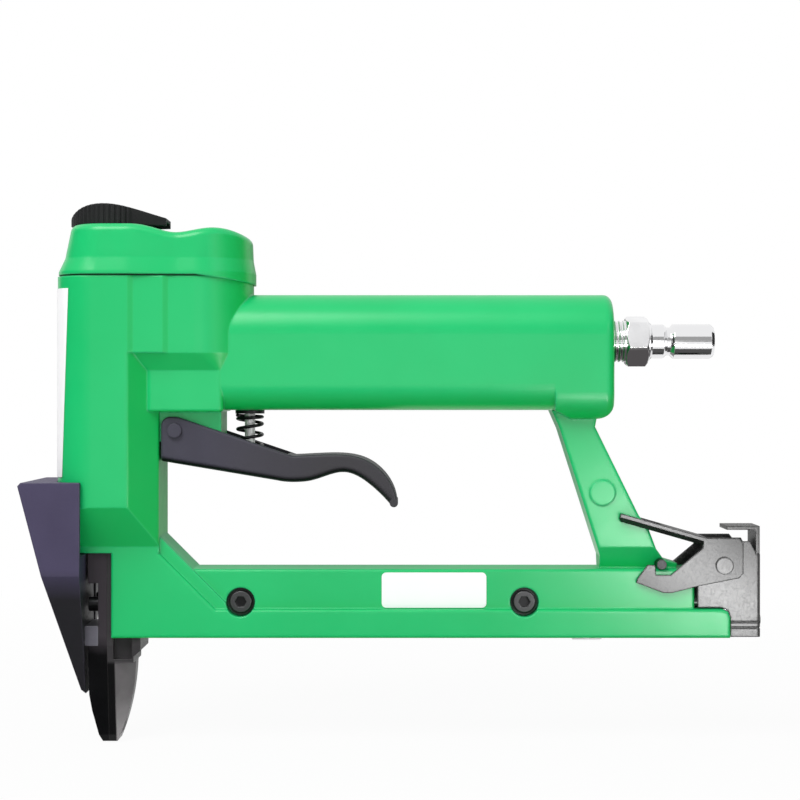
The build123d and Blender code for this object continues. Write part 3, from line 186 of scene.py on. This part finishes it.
# zone: another tone beyond a level, with a border that wavers
def makeZoneGroup():
    inputs = {
        "Tone": "Color", "Other": "Color", "Level": "Float", "Noise": "Float", "Start": "Float",
        "End": "Float"}
    group, start, end = newGroup("zoneTone", inputs, {"Tone": "Color"})
    waver = effects["zoneWaver"]
    drift = rangeNode(group, start.outputs["Noise"], *noiseBand, -waver, waver)
    width = mathNode(group, "SUBTRACT", start.outputs["End"], start.outputs["Start"])
    level = mathNode(group, "MULTIPLY_ADD", drift, width, start.outputs["Level"])
    share = rangeNode(group, level, start.outputs["Start"], start.outputs["End"])
    feed(group, end.inputs["Tone"], mixColour(group, share, start.outputs["Tone"], start.outputs["Other"]))
    return group


# painted shade: another tone on the faces that look one way
def makeFacingShadeGroup():
    group, start, end = newGroup(
        "paintedFacingShade", {"Tone": "Color", "Other": "Color", "Facing": "Vector"}, {"Tone": "Color"})
    place = addNode(group, "ShaderNodeTexCoord")
    lean = vectorNode(group, "DOT_PRODUCT", place.outputs["Normal"], start.outputs["Facing"])
    share = rangeNode(group, lean, *effects["facingBand"])
    feed(group, end.inputs["Tone"], mixColour(group, share, start.outputs["Tone"], start.outputs["Other"]))
    return group


edgeSense = makeEdgeGroup()
mottle = makeMottleGroup()
brushed = makeBrushGroup()
zoneTone = makeZoneGroup()
paintedFacingShade = makeFacingShadeGroup()


# painted shade in the counterbores: a dark ring round the screw heads
def paintBoreShade(tree, place, split, tone, bores):
    depth = mathNode(tree, "ABSOLUTE", split.outputs["Y"])
    sunk = rangeNode(tree, depth, bores["depth"], bores["depth"] - bores["fade"])
    flat = vectorNode(tree, "MULTIPLY", place.outputs["Object"], (1, 0, 1), "Vector")   # from the side
    for spot in bores["spots"]:
        reach = vectorNode(tree, "DISTANCE", flat, spot)
        inside = rangeNode(tree, reach, bores["radius"] + bores["rim"], bores["radius"])
        tone = mixColour(tree, mathNode(tree, "MULTIPLY", inside, sunk), tone, bores["tone"])
    return tone


# one recipe for painted, moulded and plated surfaces
def makeFinish(name, look):
    material, shader = newMaterial(name)
    tree = material.node_tree
    place = addNode(tree, "ShaderNodeTexCoord")
    split = addNode(tree, "ShaderNodeSeparateXYZ", Vector=place.outputs["Object"])
    edge = useGroup(tree, edgeSense, Radius=look["edgeRadius"])
    spots = useGroup(tree, mottle, Slow=look["slow"], Quick=look["quick"])
    slow = spots.outputs["Slow"]
    tone = mixColour(tree, rangeNode(tree, slow, *noiseBand), look["dark"], look["light"])
    for axis, start, end, other in look.get("zones", []):
        zone = useGroup(
            tree, zoneTone, Tone=tone, Other=other, Level=split.outputs[axis], Noise=slow, Start=start,
            End=end)
        tone = zone.outputs["Tone"]
    # painted shade on the faces that look one way
    if "under" in look:
        facing = useGroup(tree, paintedFacingShade, Tone=tone, Other=look["under"], Facing=look["underFacing"])
        tone = facing.outputs["Tone"]
    # painted shade in the counterbores
    if "bores" in look:
        tone = paintBoreShade(tree, place, split, tone, look["bores"])
    # edge tone: worn edges on most finishes, a painted highlight on the green enamel and painted shade on the
    # sheet steel
    edgeWearAndPaintedLight = mathNode(tree, "MULTIPLY", edge.outputs["Mask"], look["edgeShare"])
    feed(tree, shader.inputs["Base Color"], mixColour(tree, edgeWearAndPaintedLight, tone, look["edge"]))
    height = spots.outputs["Quick"]
    if "stretch" in look:
        lines = useGroup(tree, brushed, Stretch=look["stretch"])
        height = lines.outputs["Lines"]
    feed(tree, shader.inputs["Roughness"], rangeNode(tree, height, *noiseBand, *look["rough"]))
    for label, key in (("Metallic", "metal"), ("Specular IOR Level", "specular")):
        if key in look:
            shader.inputs[label].default_value = look[key]
    bump = addNode(
        tree, "ShaderNodeBump", Strength=look["bump"], Distance=look["bumpDepth"], Height=height,
        Normal=edge.outputs["Normal"])
    feed(tree, shader.inputs["Normal"], bump.outputs[0])
    return material


# a zone is an axis, where the change starts and ends, and the tone beyond it
screwLow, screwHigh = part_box("beam_screws")
screwHead = 3.5 * mm   # radius
screwLevel = (screwLow.z + screwHigh.z) / 2
finishes = {
    "greenEnamel": {
        # the edge green is lighter: partly thinner paint on the edges, partly a painted highlight
        "dark": (0.004, 0.475, 0.132, 1), "light": (0.007, 0.525, 0.155, 1), "edge": (0.06, 0.68, 0.29, 1),
        # bores: painted shade, a dark ring on the counterbore floors round the screw heads
        "bores": {
            "spots": [(screwLow.x + screwHead, 0, screwLevel), (screwHigh.x - screwHead, 0, screwLevel)],
            "radius": 4.5 * mm, "rim": 0.1 * mm, "depth": screwHigh.y, "fade": 0.5 * mm,
            "tone": (0.002, 0.02, 0.008, 1)},
        # painted shade: a purer, less blue green on the faces that look down and back
        "under": (0.004, 0.52, 0.092, 1), "underFacing": (0.7, 0, -0.7),
        "edgeShare": 0.5, "edgeRadius": 0.9 * mm, "slow": 22.0, "quick": 140.0, "rough": (0.28, 0.34),
        "specular": 0.42, "bump": 0.12, "bumpDepth": 0.1 * mm},
    "blackMoulded": {
        "dark": (0.007, 0.007, 0.0075, 1), "light": (0.012, 0.012, 0.013, 1), "edge": (0.05, 0.05, 0.055, 1),
        "edgeShare": 0.4, "edgeRadius": 0.5 * mm, "slow": 60.0, "quick": 1600.0, "rough": (0.5, 0.65),
        "specular": 0.3, "bump": 0.15, "bumpDepth": 0.1 * mm},
    "guardBlack": {
        "dark": (0.05, 0.041, 0.088, 1), "light": (0.066, 0.055, 0.115, 1), "edge": (0.11, 0.1, 0.15, 1),
        # the zone is painted shade: darker from 54 mm down to 44 mm and below, where the cheek turns down
        "zones": [("Z", 54 * mm, 44 * mm, (0.02, 0.019, 0.024, 1))],
        "edgeShare": 0.4, "edgeRadius": 0.6 * mm, "slow": 45.0, "quick": 1300.0, "rough": (0.42, 0.55),
        "specular": 0.35, "bump": 0.1, "bumpDepth": 0.1 * mm},
    "leverPaint": {
        "dark": (0.048, 0.045, 0.066, 1), "light": (0.062, 0.058, 0.083, 1), "edge": (0.07, 0.065, 0.085, 1),
        # painted light and shade: the zone keeps the front bluer and lighter, where the light falls, and
        # darkens it towards the rear
        "zones": [("X", 28 * mm, 64 * mm, (0.042, 0.04, 0.046, 1))],
        # painted shade: near black on the faces that look down
        "under": (0.004, 0.0035, 0.005, 1), "underFacing": (0, 0, -1),
        "edgeShare": 0.2, "edgeRadius": 0.5 * mm, "slow": 50.0, "quick": 1200.0, "rough": (0.4, 0.54),
        "specular": 0.28, "bump": 0.1, "bumpDepth": 0.1 * mm},
    "blackOxide": {
        "dark": (0.008, 0.008, 0.009, 1), "light": (0.018, 0.018, 0.02, 1), "edge": (0.12, 0.12, 0.12, 1),
        "edgeShare": 0.5, "edgeRadius": 0.3 * mm, "slow": 120.0, "quick": 2400.0, "rough": (0.28, 0.42),
        "metal": 0.6, "bump": 0.08, "bumpDepth": 0.05 * mm},
    "guideBlack": {
        "dark": (0.003, 0.003, 0.0035, 1), "light": (0.005, 0.005, 0.006, 1), "edge": (0.04, 0.04, 0.04, 1),
        # the zone is painted light: a lighter purple-grey above 33 mm
        "zones": [("Z", 27 * mm, 33 * mm, (0.05, 0.042, 0.05, 1))],
        "edgeShare": 0.3, "edgeRadius": 0.4 * mm, "slow": 110.0, "quick": 1900.0, "rough": (0.4, 0.55),
        "specular": 0.12, "bump": 0.1, "bumpDepth": 0.06 * mm},
    "guideWorn": {
        "dark": (0.15, 0.138, 0.145, 1), "light": (0.2, 0.185, 0.195, 1), "edge": (0.1, 0.09, 0.09, 1),
        "zones": [
            ("Z", 16 * mm, 2 * mm, (0.36, 0.34, 0.35, 1)),
            ("X", 2.5 * mm, 2.1 * mm, (0.005, 0.005, 0.0055, 1)),
            # painted shade under the beam: darker above 25 mm
            ("Z", 24 * mm, 25 * mm, (0.045, 0.042, 0.045, 1))],
        "edgeShare": 0.3, "edgeRadius": 0.4 * mm, "slow": 110.0, "quick": 1900.0, "rough": (0.36, 0.52),
        "specular": 0.2, "bump": 0.12, "bumpDepth": 0.06 * mm},
    "phosphated": {
        "dark": (0.14, 0.135, 0.165, 1), "light": (0.2, 0.19, 0.23, 1), "edge": (0.3, 0.29, 0.31, 1),
        "edgeShare": 0.5, "edgeRadius": 0.4 * mm, "slow": 110.0, "quick": 1900.0, "rough": (0.36, 0.52),
        "metal": 0.3, "bump": 0.12, "bumpDepth": 0.06 * mm},
    "blackSheet": {
        # the near-black edge tone is painted shade on the edges and bends
        "dark": (0.03, 0.029, 0.029, 1), "light": (0.05, 0.049, 0.048, 1), "edge": (0.01, 0.01, 0.01, 1),
        "edgeShare": 0.75, "edgeRadius": 0.55 * mm, "slow": 70.0, "quick": 1500.0, "rough": (0.22, 0.3),
        "specular": 0.6, "bump": 0.06, "bumpDepth": 0.05 * mm},
    "latchSteel": {
        # the near-black edge tone is painted shade on the edges and bends
        "dark": (0.014, 0.014, 0.0138, 1), "light": (0.024, 0.024, 0.0235, 1),
        "edge": (0.008, 0.008, 0.008, 1),
        "edgeShare": 0.8, "edgeRadius": 0.5 * mm, "slow": 70.0, "quick": 1500.0, "rough": (0.22, 0.3),
        "specular": 0.5, "bump": 0.06, "bumpDepth": 0.05 * mm},
    "brightSteel": {
        "dark": (0.5, 0.5, 0.5, 1), "light": (0.62, 0.62, 0.62, 1), "edge": (0.75, 0.75, 0.75, 1),
        "edgeShare": 0.4, "edgeRadius": 0.3 * mm, "slow": 80.0, "quick": 1500.0, "rough": (0.2, 0.34),
        "metal": 1.0, "stretch": (60.0, 1800.0, 1800.0), "bump": 0.05, "bumpDepth": 0.04 * mm},
    "plugChrome": {
        "dark": (0.78, 0.78, 0.79, 1), "light": (0.87, 0.87, 0.88, 1), "edge": (0.93, 0.93, 0.93, 1),
        # the zones are a painted reflection: a dark lower half of the hex, below 120 mm and short of 166 mm
        "zones": [
            ("Z", 121 * mm, 120 * mm, (0.32, 0.3, 0.31, 1)),
            ("X", 166 * mm, 166.3 * mm, (0.83, 0.83, 0.84, 1))],
        "edgeShare": 0.5, "edgeRadius": 0.25 * mm, "slow": 150.0, "quick": 2600.0, "rough": (0.05, 0.11),
        "metal": 1.0, "bump": 0.03, "bumpDepth": 0.03 * mm},
    "stemSteel": {
        "dark": (0.92, 0.92, 0.92, 1), "light": (0.96, 0.96, 0.96, 1), "edge": (0.95, 0.95, 0.95, 1),
        "edgeShare": 0.3, "edgeRadius": 0.2 * mm, "slow": 120.0, "quick": 1500.0, "rough": (0.3, 0.4),
        "metal": 0.1, "bump": 0.04, "bumpDepth": 0.04 * mm},
    "screwOxide": {
        "dark": (0.006, 0.006, 0.007, 1), "light": (0.012, 0.012, 0.013, 1), "edge": (0.16, 0.16, 0.16, 1),
        "zones": [
            ("Y", -8.0 * mm, -8.2 * mm, (0.06, 0.06, 0.062, 1)),
            ("Y", 8.0 * mm, 8.2 * mm, (0.06, 0.06, 0.062, 1))],
        "edgeShare": 0.5, "edgeRadius": 0.4 * mm, "slow": 160.0, "quick": 2400.0, "rough": (0.3, 0.42),
        "metal": 0.4, "bump": 0.08, "bumpDepth": 0.05 * mm},
    "gasketFibre": {
        "dark": (0.004, 0.05, 0.02, 1), "light": (0.008, 0.09, 0.035, 1), "edge": (0.01, 0.1, 0.04, 1),
        "edgeShare": 0.2, "edgeRadius": 0.2 * mm, "slow": 200.0, "quick": 2200.0, "rough": (0.6, 0.75),
        "bump": 0.1, "bumpDepth": 0.05 * mm},
    "sealRubber": {
        "dark": (0.008, 0.008, 0.008, 1), "light": (0.014, 0.014, 0.014, 1), "edge": (0.03, 0.03, 0.03, 1),
        "edgeShare": 0.3, "edgeRadius": 0.3 * mm, "slow": 200.0, "quick": 2600.0, "rough": (0.6, 0.75),
        "bump": 0.1, "bumpDepth": 0.05 * mm},
    "labelFilm": {
        "dark": (0.93, 0.925, 0.935, 1), "light": (0.96, 0.955, 0.965, 1), "edge": (0.75, 0.76, 0.76, 1),
        "edgeShare": 0.4, "edgeRadius": 0.15 * mm, "slow": 40.0, "quick": 1100.0, "rough": (0.3, 0.38),
        "bump": 0.03, "bumpDepth": 0.03 * mm},
}
materials = {name: makeFinish(name, look) for name, look in finishes.items()}
print("finishes made:", ", ".join(materials))

nodesOfFinish = {
    "greenEnamel": ["housing", "head_cap"],
    "blackMoulded": ["exhaust_deflector"],
    "guardBlack": ["nose_guard"],
    "leverPaint": ["trigger_lever", "trigger_pin"],
    "blackOxide": ["head_screws", "nose_screws", "guard_screw", "spring_disc", "catch_pin"],
    "screwOxide": ["beam_screws"],
    "guideBlack": ["nose_front_guide"],
    "guideWorn": ["nose_rear_guide"],
    "phosphated": ["nose_spacer", "pusher"],
    "blackSheet": ["rear_bracket", "latch_pin", "bracket_rivets"],
    "latchSteel": ["latch_lever"],
    "brightSteel": [
        "cylinder_liner", "piston", "driver_blade", "blade_pin", "main_valve_spool", "trigger_valve_bush",
        "magazine_channel", "magazine_tray", "pusher_rod", "deflector_washer", "deflector_screw"],
    "stemSteel": ["trigger_valve_stem"],
    "plugChrome": ["air_plug"],
    "gasketFibre": ["head_gasket"],
    "sealRubber": ["liner_o_rings", "bumper", "piston_o_ring", "spool_o_rings", "stem_o_ring"],
    "labelFilm": ["side_label", "front_label"],
}
for finish, names in nodesOfFinish.items():
    for name in names:
        mesh = nodes[name].data
        mesh.materials.clear()
        mesh.materials.append(materials[finish])
print("finishes laid on", sum(len(names) for names in nodesOfFinish.values()), "nodes")

# springs: one wire each, bent along a helix with closed ends
wireCurve = {"order": 4, "steps": 3, "closedPitch": 1.05}   # pitch of the closed turns, in wires


def helixPoints(look):
    points = []
    turns = look["turns"]
    closed = look["closedTurns"]
    radius = look["radius"]
    length = look["length"] - look["wire"]
    closedRise = closed * look["wire"] * wireCurve["closedPitch"]
    for step in range(int(turns * look["pointsPerTurn"]) + 1):
        turn = step / look["pointsPerTurn"]
        if turn < closed:
            rise = closedRise * turn / closed
        elif turn > turns - closed:
            rise = length - closedRise * (turns - turn) / closed
        else:
            rise = closedRise + (length - 2 * closedRise) * (turn - closed) / (turns - 2 * closed)
        angle = 2 * math.pi * turn
        points.append((radius * math.cos(angle), radius * math.sin(angle), rise + look["wire"] / 2))
    return points


def bendWire(name, points, look):
    bpy.ops.object.select_all(action="DESELECT")
    bpy.ops.curve.primitive_nurbs_path_add(radius=1.0, location=(0, 0, 0))
    path = bpy.context.object
    path.name = name
    spline = path.data.splines[0]
    spline.points.add(len(points) - len(spline.points))
    for knot, point in zip(spline.points, points):
        knot.co = (*point, 1.0)
    spline.order_u = wireCurve["order"]
    spline.use_endpoint_u = True
    path.data.resolution_u = wireCurve["steps"]
    path.data.bevel_depth = look["wire"] / 2
    path.data.bevel_resolution = look["roundness"]
    path.data.use_fill_caps = True
    bpy.ops.object.convert(target="MESH")
    bpy.ops.object.shade_smooth()
    return bpy.context.object


def finishSpring(spring, body, node):
    spring.data.materials.clear()
    spring.data.materials.append(materials["blackOxide"])
    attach(spring, body)
    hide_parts(node)


triggerLow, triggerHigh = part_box("trigger_spring")
triggerSpring = {
    "wire": 1.0 * mm, "radius": 3.95 * mm, "turns": 5.5, "closedTurns": 1.0, "pointsPerTurn": 14,
    "roundness": 5, "length": triggerHigh.z - triggerLow.z, "travel": 5.5 * mm}
axisX = (triggerLow.x + triggerHigh.x) / 2
wirePoints = [(axisX + x, y, triggerLow.z + z) for x, y, z in helixPoints(triggerSpring)]
spring = bendWire("trigger_coil", wirePoints, triggerSpring)
finishSpring(spring, "tool_body", "trigger_spring")
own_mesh(spring)

spoolLow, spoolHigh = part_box("spool_spring")
spoolWire = 1.0 * mm
spoolSpring = {
    "wire": spoolWire, "radius": (spoolHigh.x - spoolLow.x - spoolWire) / 2, "turns": 5, "closedTurns": 0.8,
    "pointsPerTurn": 14, "roundness": 4, "length": spoolHigh.z - spoolLow.z, "travel": 4 * mm}
axisX = (spoolLow.x + spoolHigh.x) / 2
wirePoints = [(axisX + x, y, spoolLow.z + z) for x, y, z in helixPoints(spoolSpring)]
spring = bendWire("spool_coil", wirePoints, spoolSpring)
finishSpring(spring, "tool_body", "spool_spring")
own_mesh(spring)

pusherLow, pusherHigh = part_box("pusher_spring")
pusherSpring = {
    "wire": 0.7 * mm, "radius": 2.2 * mm, "turns": 56, "closedTurns": 1.5, "pointsPerTurn": 10,
    "roundness": 3, "length": pusherHigh.x - pusherLow.x, "travel": 90 * mm}
axisZ = (pusherLow.z + pusherHigh.z) / 2
wirePoints = [(pusherLow.x + z, x, axisZ + y) for x, y, z in helixPoints(pusherSpring)]
spring = bendWire("pusher_coil", wirePoints, pusherSpring)
finishSpring(spring, "magazine", "pusher_spring")
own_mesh(spring)

latchLow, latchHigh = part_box("latch_spring")
latchSpring = {
    "wire": 0.9 * mm, "radius": 2.7 * mm, "turns": 9, "closedTurns": 1.0, "pointsPerTurn": 14,
    "roundness": 4, "length": latchHigh.y - latchLow.y}
axisX = (latchLow.x + latchHigh.x) / 2
axisZ = (latchLow.z + latchHigh.z) / 2
wirePoints = [(axisX + x, latchLow.y + z, axisZ + y) for x, y, z in helixPoints(latchSpring)]
spring = bendWire("latch_coil", wirePoints, latchSpring)
finishSpring(spring, "magazine", "latch_spring")
print("springs wound: trigger, spool, pusher and latch")

# studio: white floor and world, where the floor keeps a soft shadow near the part
stage = {
    "floorSize": 8.0, "floorHeight": -0.5 * mm, "floorColour": (0.75, 0.75, 0.75, 1), "floorRough": 0.9,
    "shadowShare": 0.05, "shadowNear": 0.12, "shadowFar": 0.5, "worldStrength": 0.46}


def backgroundRays(tree):   # the rays that see the background as plain white
    rays = addNode(tree, "ShaderNodeLightPath")
    seen = mathNode(tree, "MAXIMUM", rays.outputs["Is Camera Ray"], rays.outputs["Is Glossy Ray"])
    return mathNode(tree, "MAXIMUM", seen, rays.outputs["Is Transmission Ray"])


def makeWorld():
    world = bpy.data.worlds.new("studioWorld")
    bpy.context.scene.world = world
    world.use_nodes = True
    tree = world.node_tree
    sky = tree.nodes["Background"]
    sky.inputs["Color"].default_value = white
    sky.inputs["Strength"].default_value = stage["worldStrength"]
    plain = addNode(tree, "ShaderNodeBackground", Color=white, Strength=1.0)
    mixShaders(tree, backgroundRays(tree), sky, plain, "World Output")


def makeFloor():
    middle = (partMiddle.x, partMiddle.y, stage["floorHeight"])
    bpy.ops.object.select_all(action="DESELECT")
    bpy.ops.mesh.primitive_plane_add(size=stage["floorSize"], location=middle)
    bpy.ops.object.transform_apply(location=True)
    floor = bpy.context.object
    floor.name = "studio_floor"
    material, shader = newMaterial("floorWhite")
    tree = material.node_tree
    shader.inputs["Base Color"].default_value = stage["floorColour"]
    shader.inputs["Roughness"].default_value = stage["floorRough"]
    shader.inputs["Specular IOR Level"].default_value = 0.0
    glow = addNode(tree, "ShaderNodeEmission", Color=white, Strength=1.0)
    place = addNode(tree, "ShaderNodeTexCoord")
    away = vectorNode(tree, "DISTANCE", place.outputs["Object"], middle)
    shade = rangeNode(tree, away, stage["shadowNear"], stage["shadowFar"], stage["shadowShare"], 0.0)
    share = mathNode(tree, "MULTIPLY", backgroundRays(tree), mathNode(tree, "SUBTRACT", 1.0, shade))
    mixShaders(tree, share, shader, glow, "Material Output")
    floor.data.materials.append(material)


# cards that only reflections see: dark ones keep the contrast, grey ones stand in for a grey room,
# and the bright one lays a sheen on the rear
lying = (0, 0, 0)
upright = (math.pi / 2, 0, 0)
sideways = (0, math.pi / 2, 0)
cards = {
    "bodyCard": {"place": (-0.23, -0.24, 0.002), "size": (0.74, 0.51), "turn": lying, "glow": 0.03},
    "plugCard": {"place": (0.445, -0.04, 0.002), "size": (0.61, 0.11), "turn": lying, "glow": 0.09},
    "hexCard": {"place": (0.1593, -0.012, 0.1), "size": (0.0185, 0.07), "turn": lying, "glow": 0.25},
    "backCard": {"place": (0.09, 0.5, 0.115), "size": (0.7, 0.22), "turn": upright, "glow": 0.35},
    "leftCard": {"place": (-0.6, -0.4, 0.23), "size": (0.45, 1.6), "turn": sideways, "glow": 0.03},
    "rightCard": {"place": (0.75, -0.4, 0.23), "size": (0.45, 1.6), "turn": sideways, "glow": 0.03},
    "frontCard": {"place": (0.08, -1.3, 0.45), "size": (1.9, 0.9), "turn": upright, "glow": 0.4},
    "sheenCard": {
        "place": (0.198, -0.15, 0.042), "size": (0.085, 0.026), "turn": (math.pi / 2, 0.69, 0), "glow": 21.0},
}


def makeCards():
    for name, look in cards.items():
        bpy.ops.object.select_all(action="DESELECT")
        bpy.ops.mesh.primitive_plane_add(size=1.0, location=look["place"], rotation=look["turn"])
        card = bpy.context.object
        card.name = name
        card.scale = (*look["size"], 1)
        bpy.ops.object.transform_apply(location=True, rotation=True, scale=True)
        material, shader = newMaterial(name)
        shader.inputs["Base Color"].default_value = black
        shader.inputs["Specular IOR Level"].default_value = 0.0
        shader.inputs["Emission Color"].default_value = white
        shader.inputs["Emission Strength"].default_value = look["glow"]
        card.data.materials.append(material)
        card.visible_camera = False
        card.visible_diffuse = False
        card.visible_transmission = False
        card.visible_shadow = False


lamps = {
    "keyLamp": {"place": (-0.3, -0.66, 0.92), "size": 0.6, "power": 9.2, "spread": 180, "aim": partMiddle},
    "fillLamp": {"place": (0.7, -0.75, 0.35), "size": 0.5, "power": 1.0, "spread": 180, "aim": partMiddle},
    "frontSheen": {
        "place": (0.08, -0.62, 0.02), "size": 0.35, "power": 0.06, "spread": 60,
        "aim": Vector((0.04, 0, 0.05))},
}


def makeLamps():
    for name, look in lamps.items():
        bpy.ops.object.select_all(action="DESELECT")
        bpy.ops.object.light_add(type="AREA", location=look["place"])
        lamp = bpy.context.object
        lamp.name = name
        lamp.data.size = look["size"]
        lamp.data.energy = look["power"]
        lamp.data.spread = math.radians(look["spread"])
        lamp.rotation_euler = (look["aim"] - Vector(look["place"])).to_track_quat("-Z", "Y").to_euler()


cameraLook = {
    "place": (89.4 * mm, -600 * mm, 104.8 * mm), "turn": upright, "lens": 87.1, "sensor": 36.0,
    "nearest": 10 * mm}


def makeCamera():
    bpy.ops.object.select_all(action="DESELECT")
    bpy.ops.object.camera_add(location=cameraLook["place"], rotation=cameraLook["turn"])
    camera = bpy.context.object
    camera.name = "pictureCamera"
    camera.data.lens = cameraLook["lens"]
    camera.data.sensor_width = cameraLook["sensor"]
    camera.data.clip_start = cameraLook["nearest"]
    bpy.context.scene.camera = camera


makeWorld()
makeFloor()
makeCards()
makeLamps()
makeCamera()
bpy.context.scene.view_settings.view_transform = "Standard"
print("studio set")
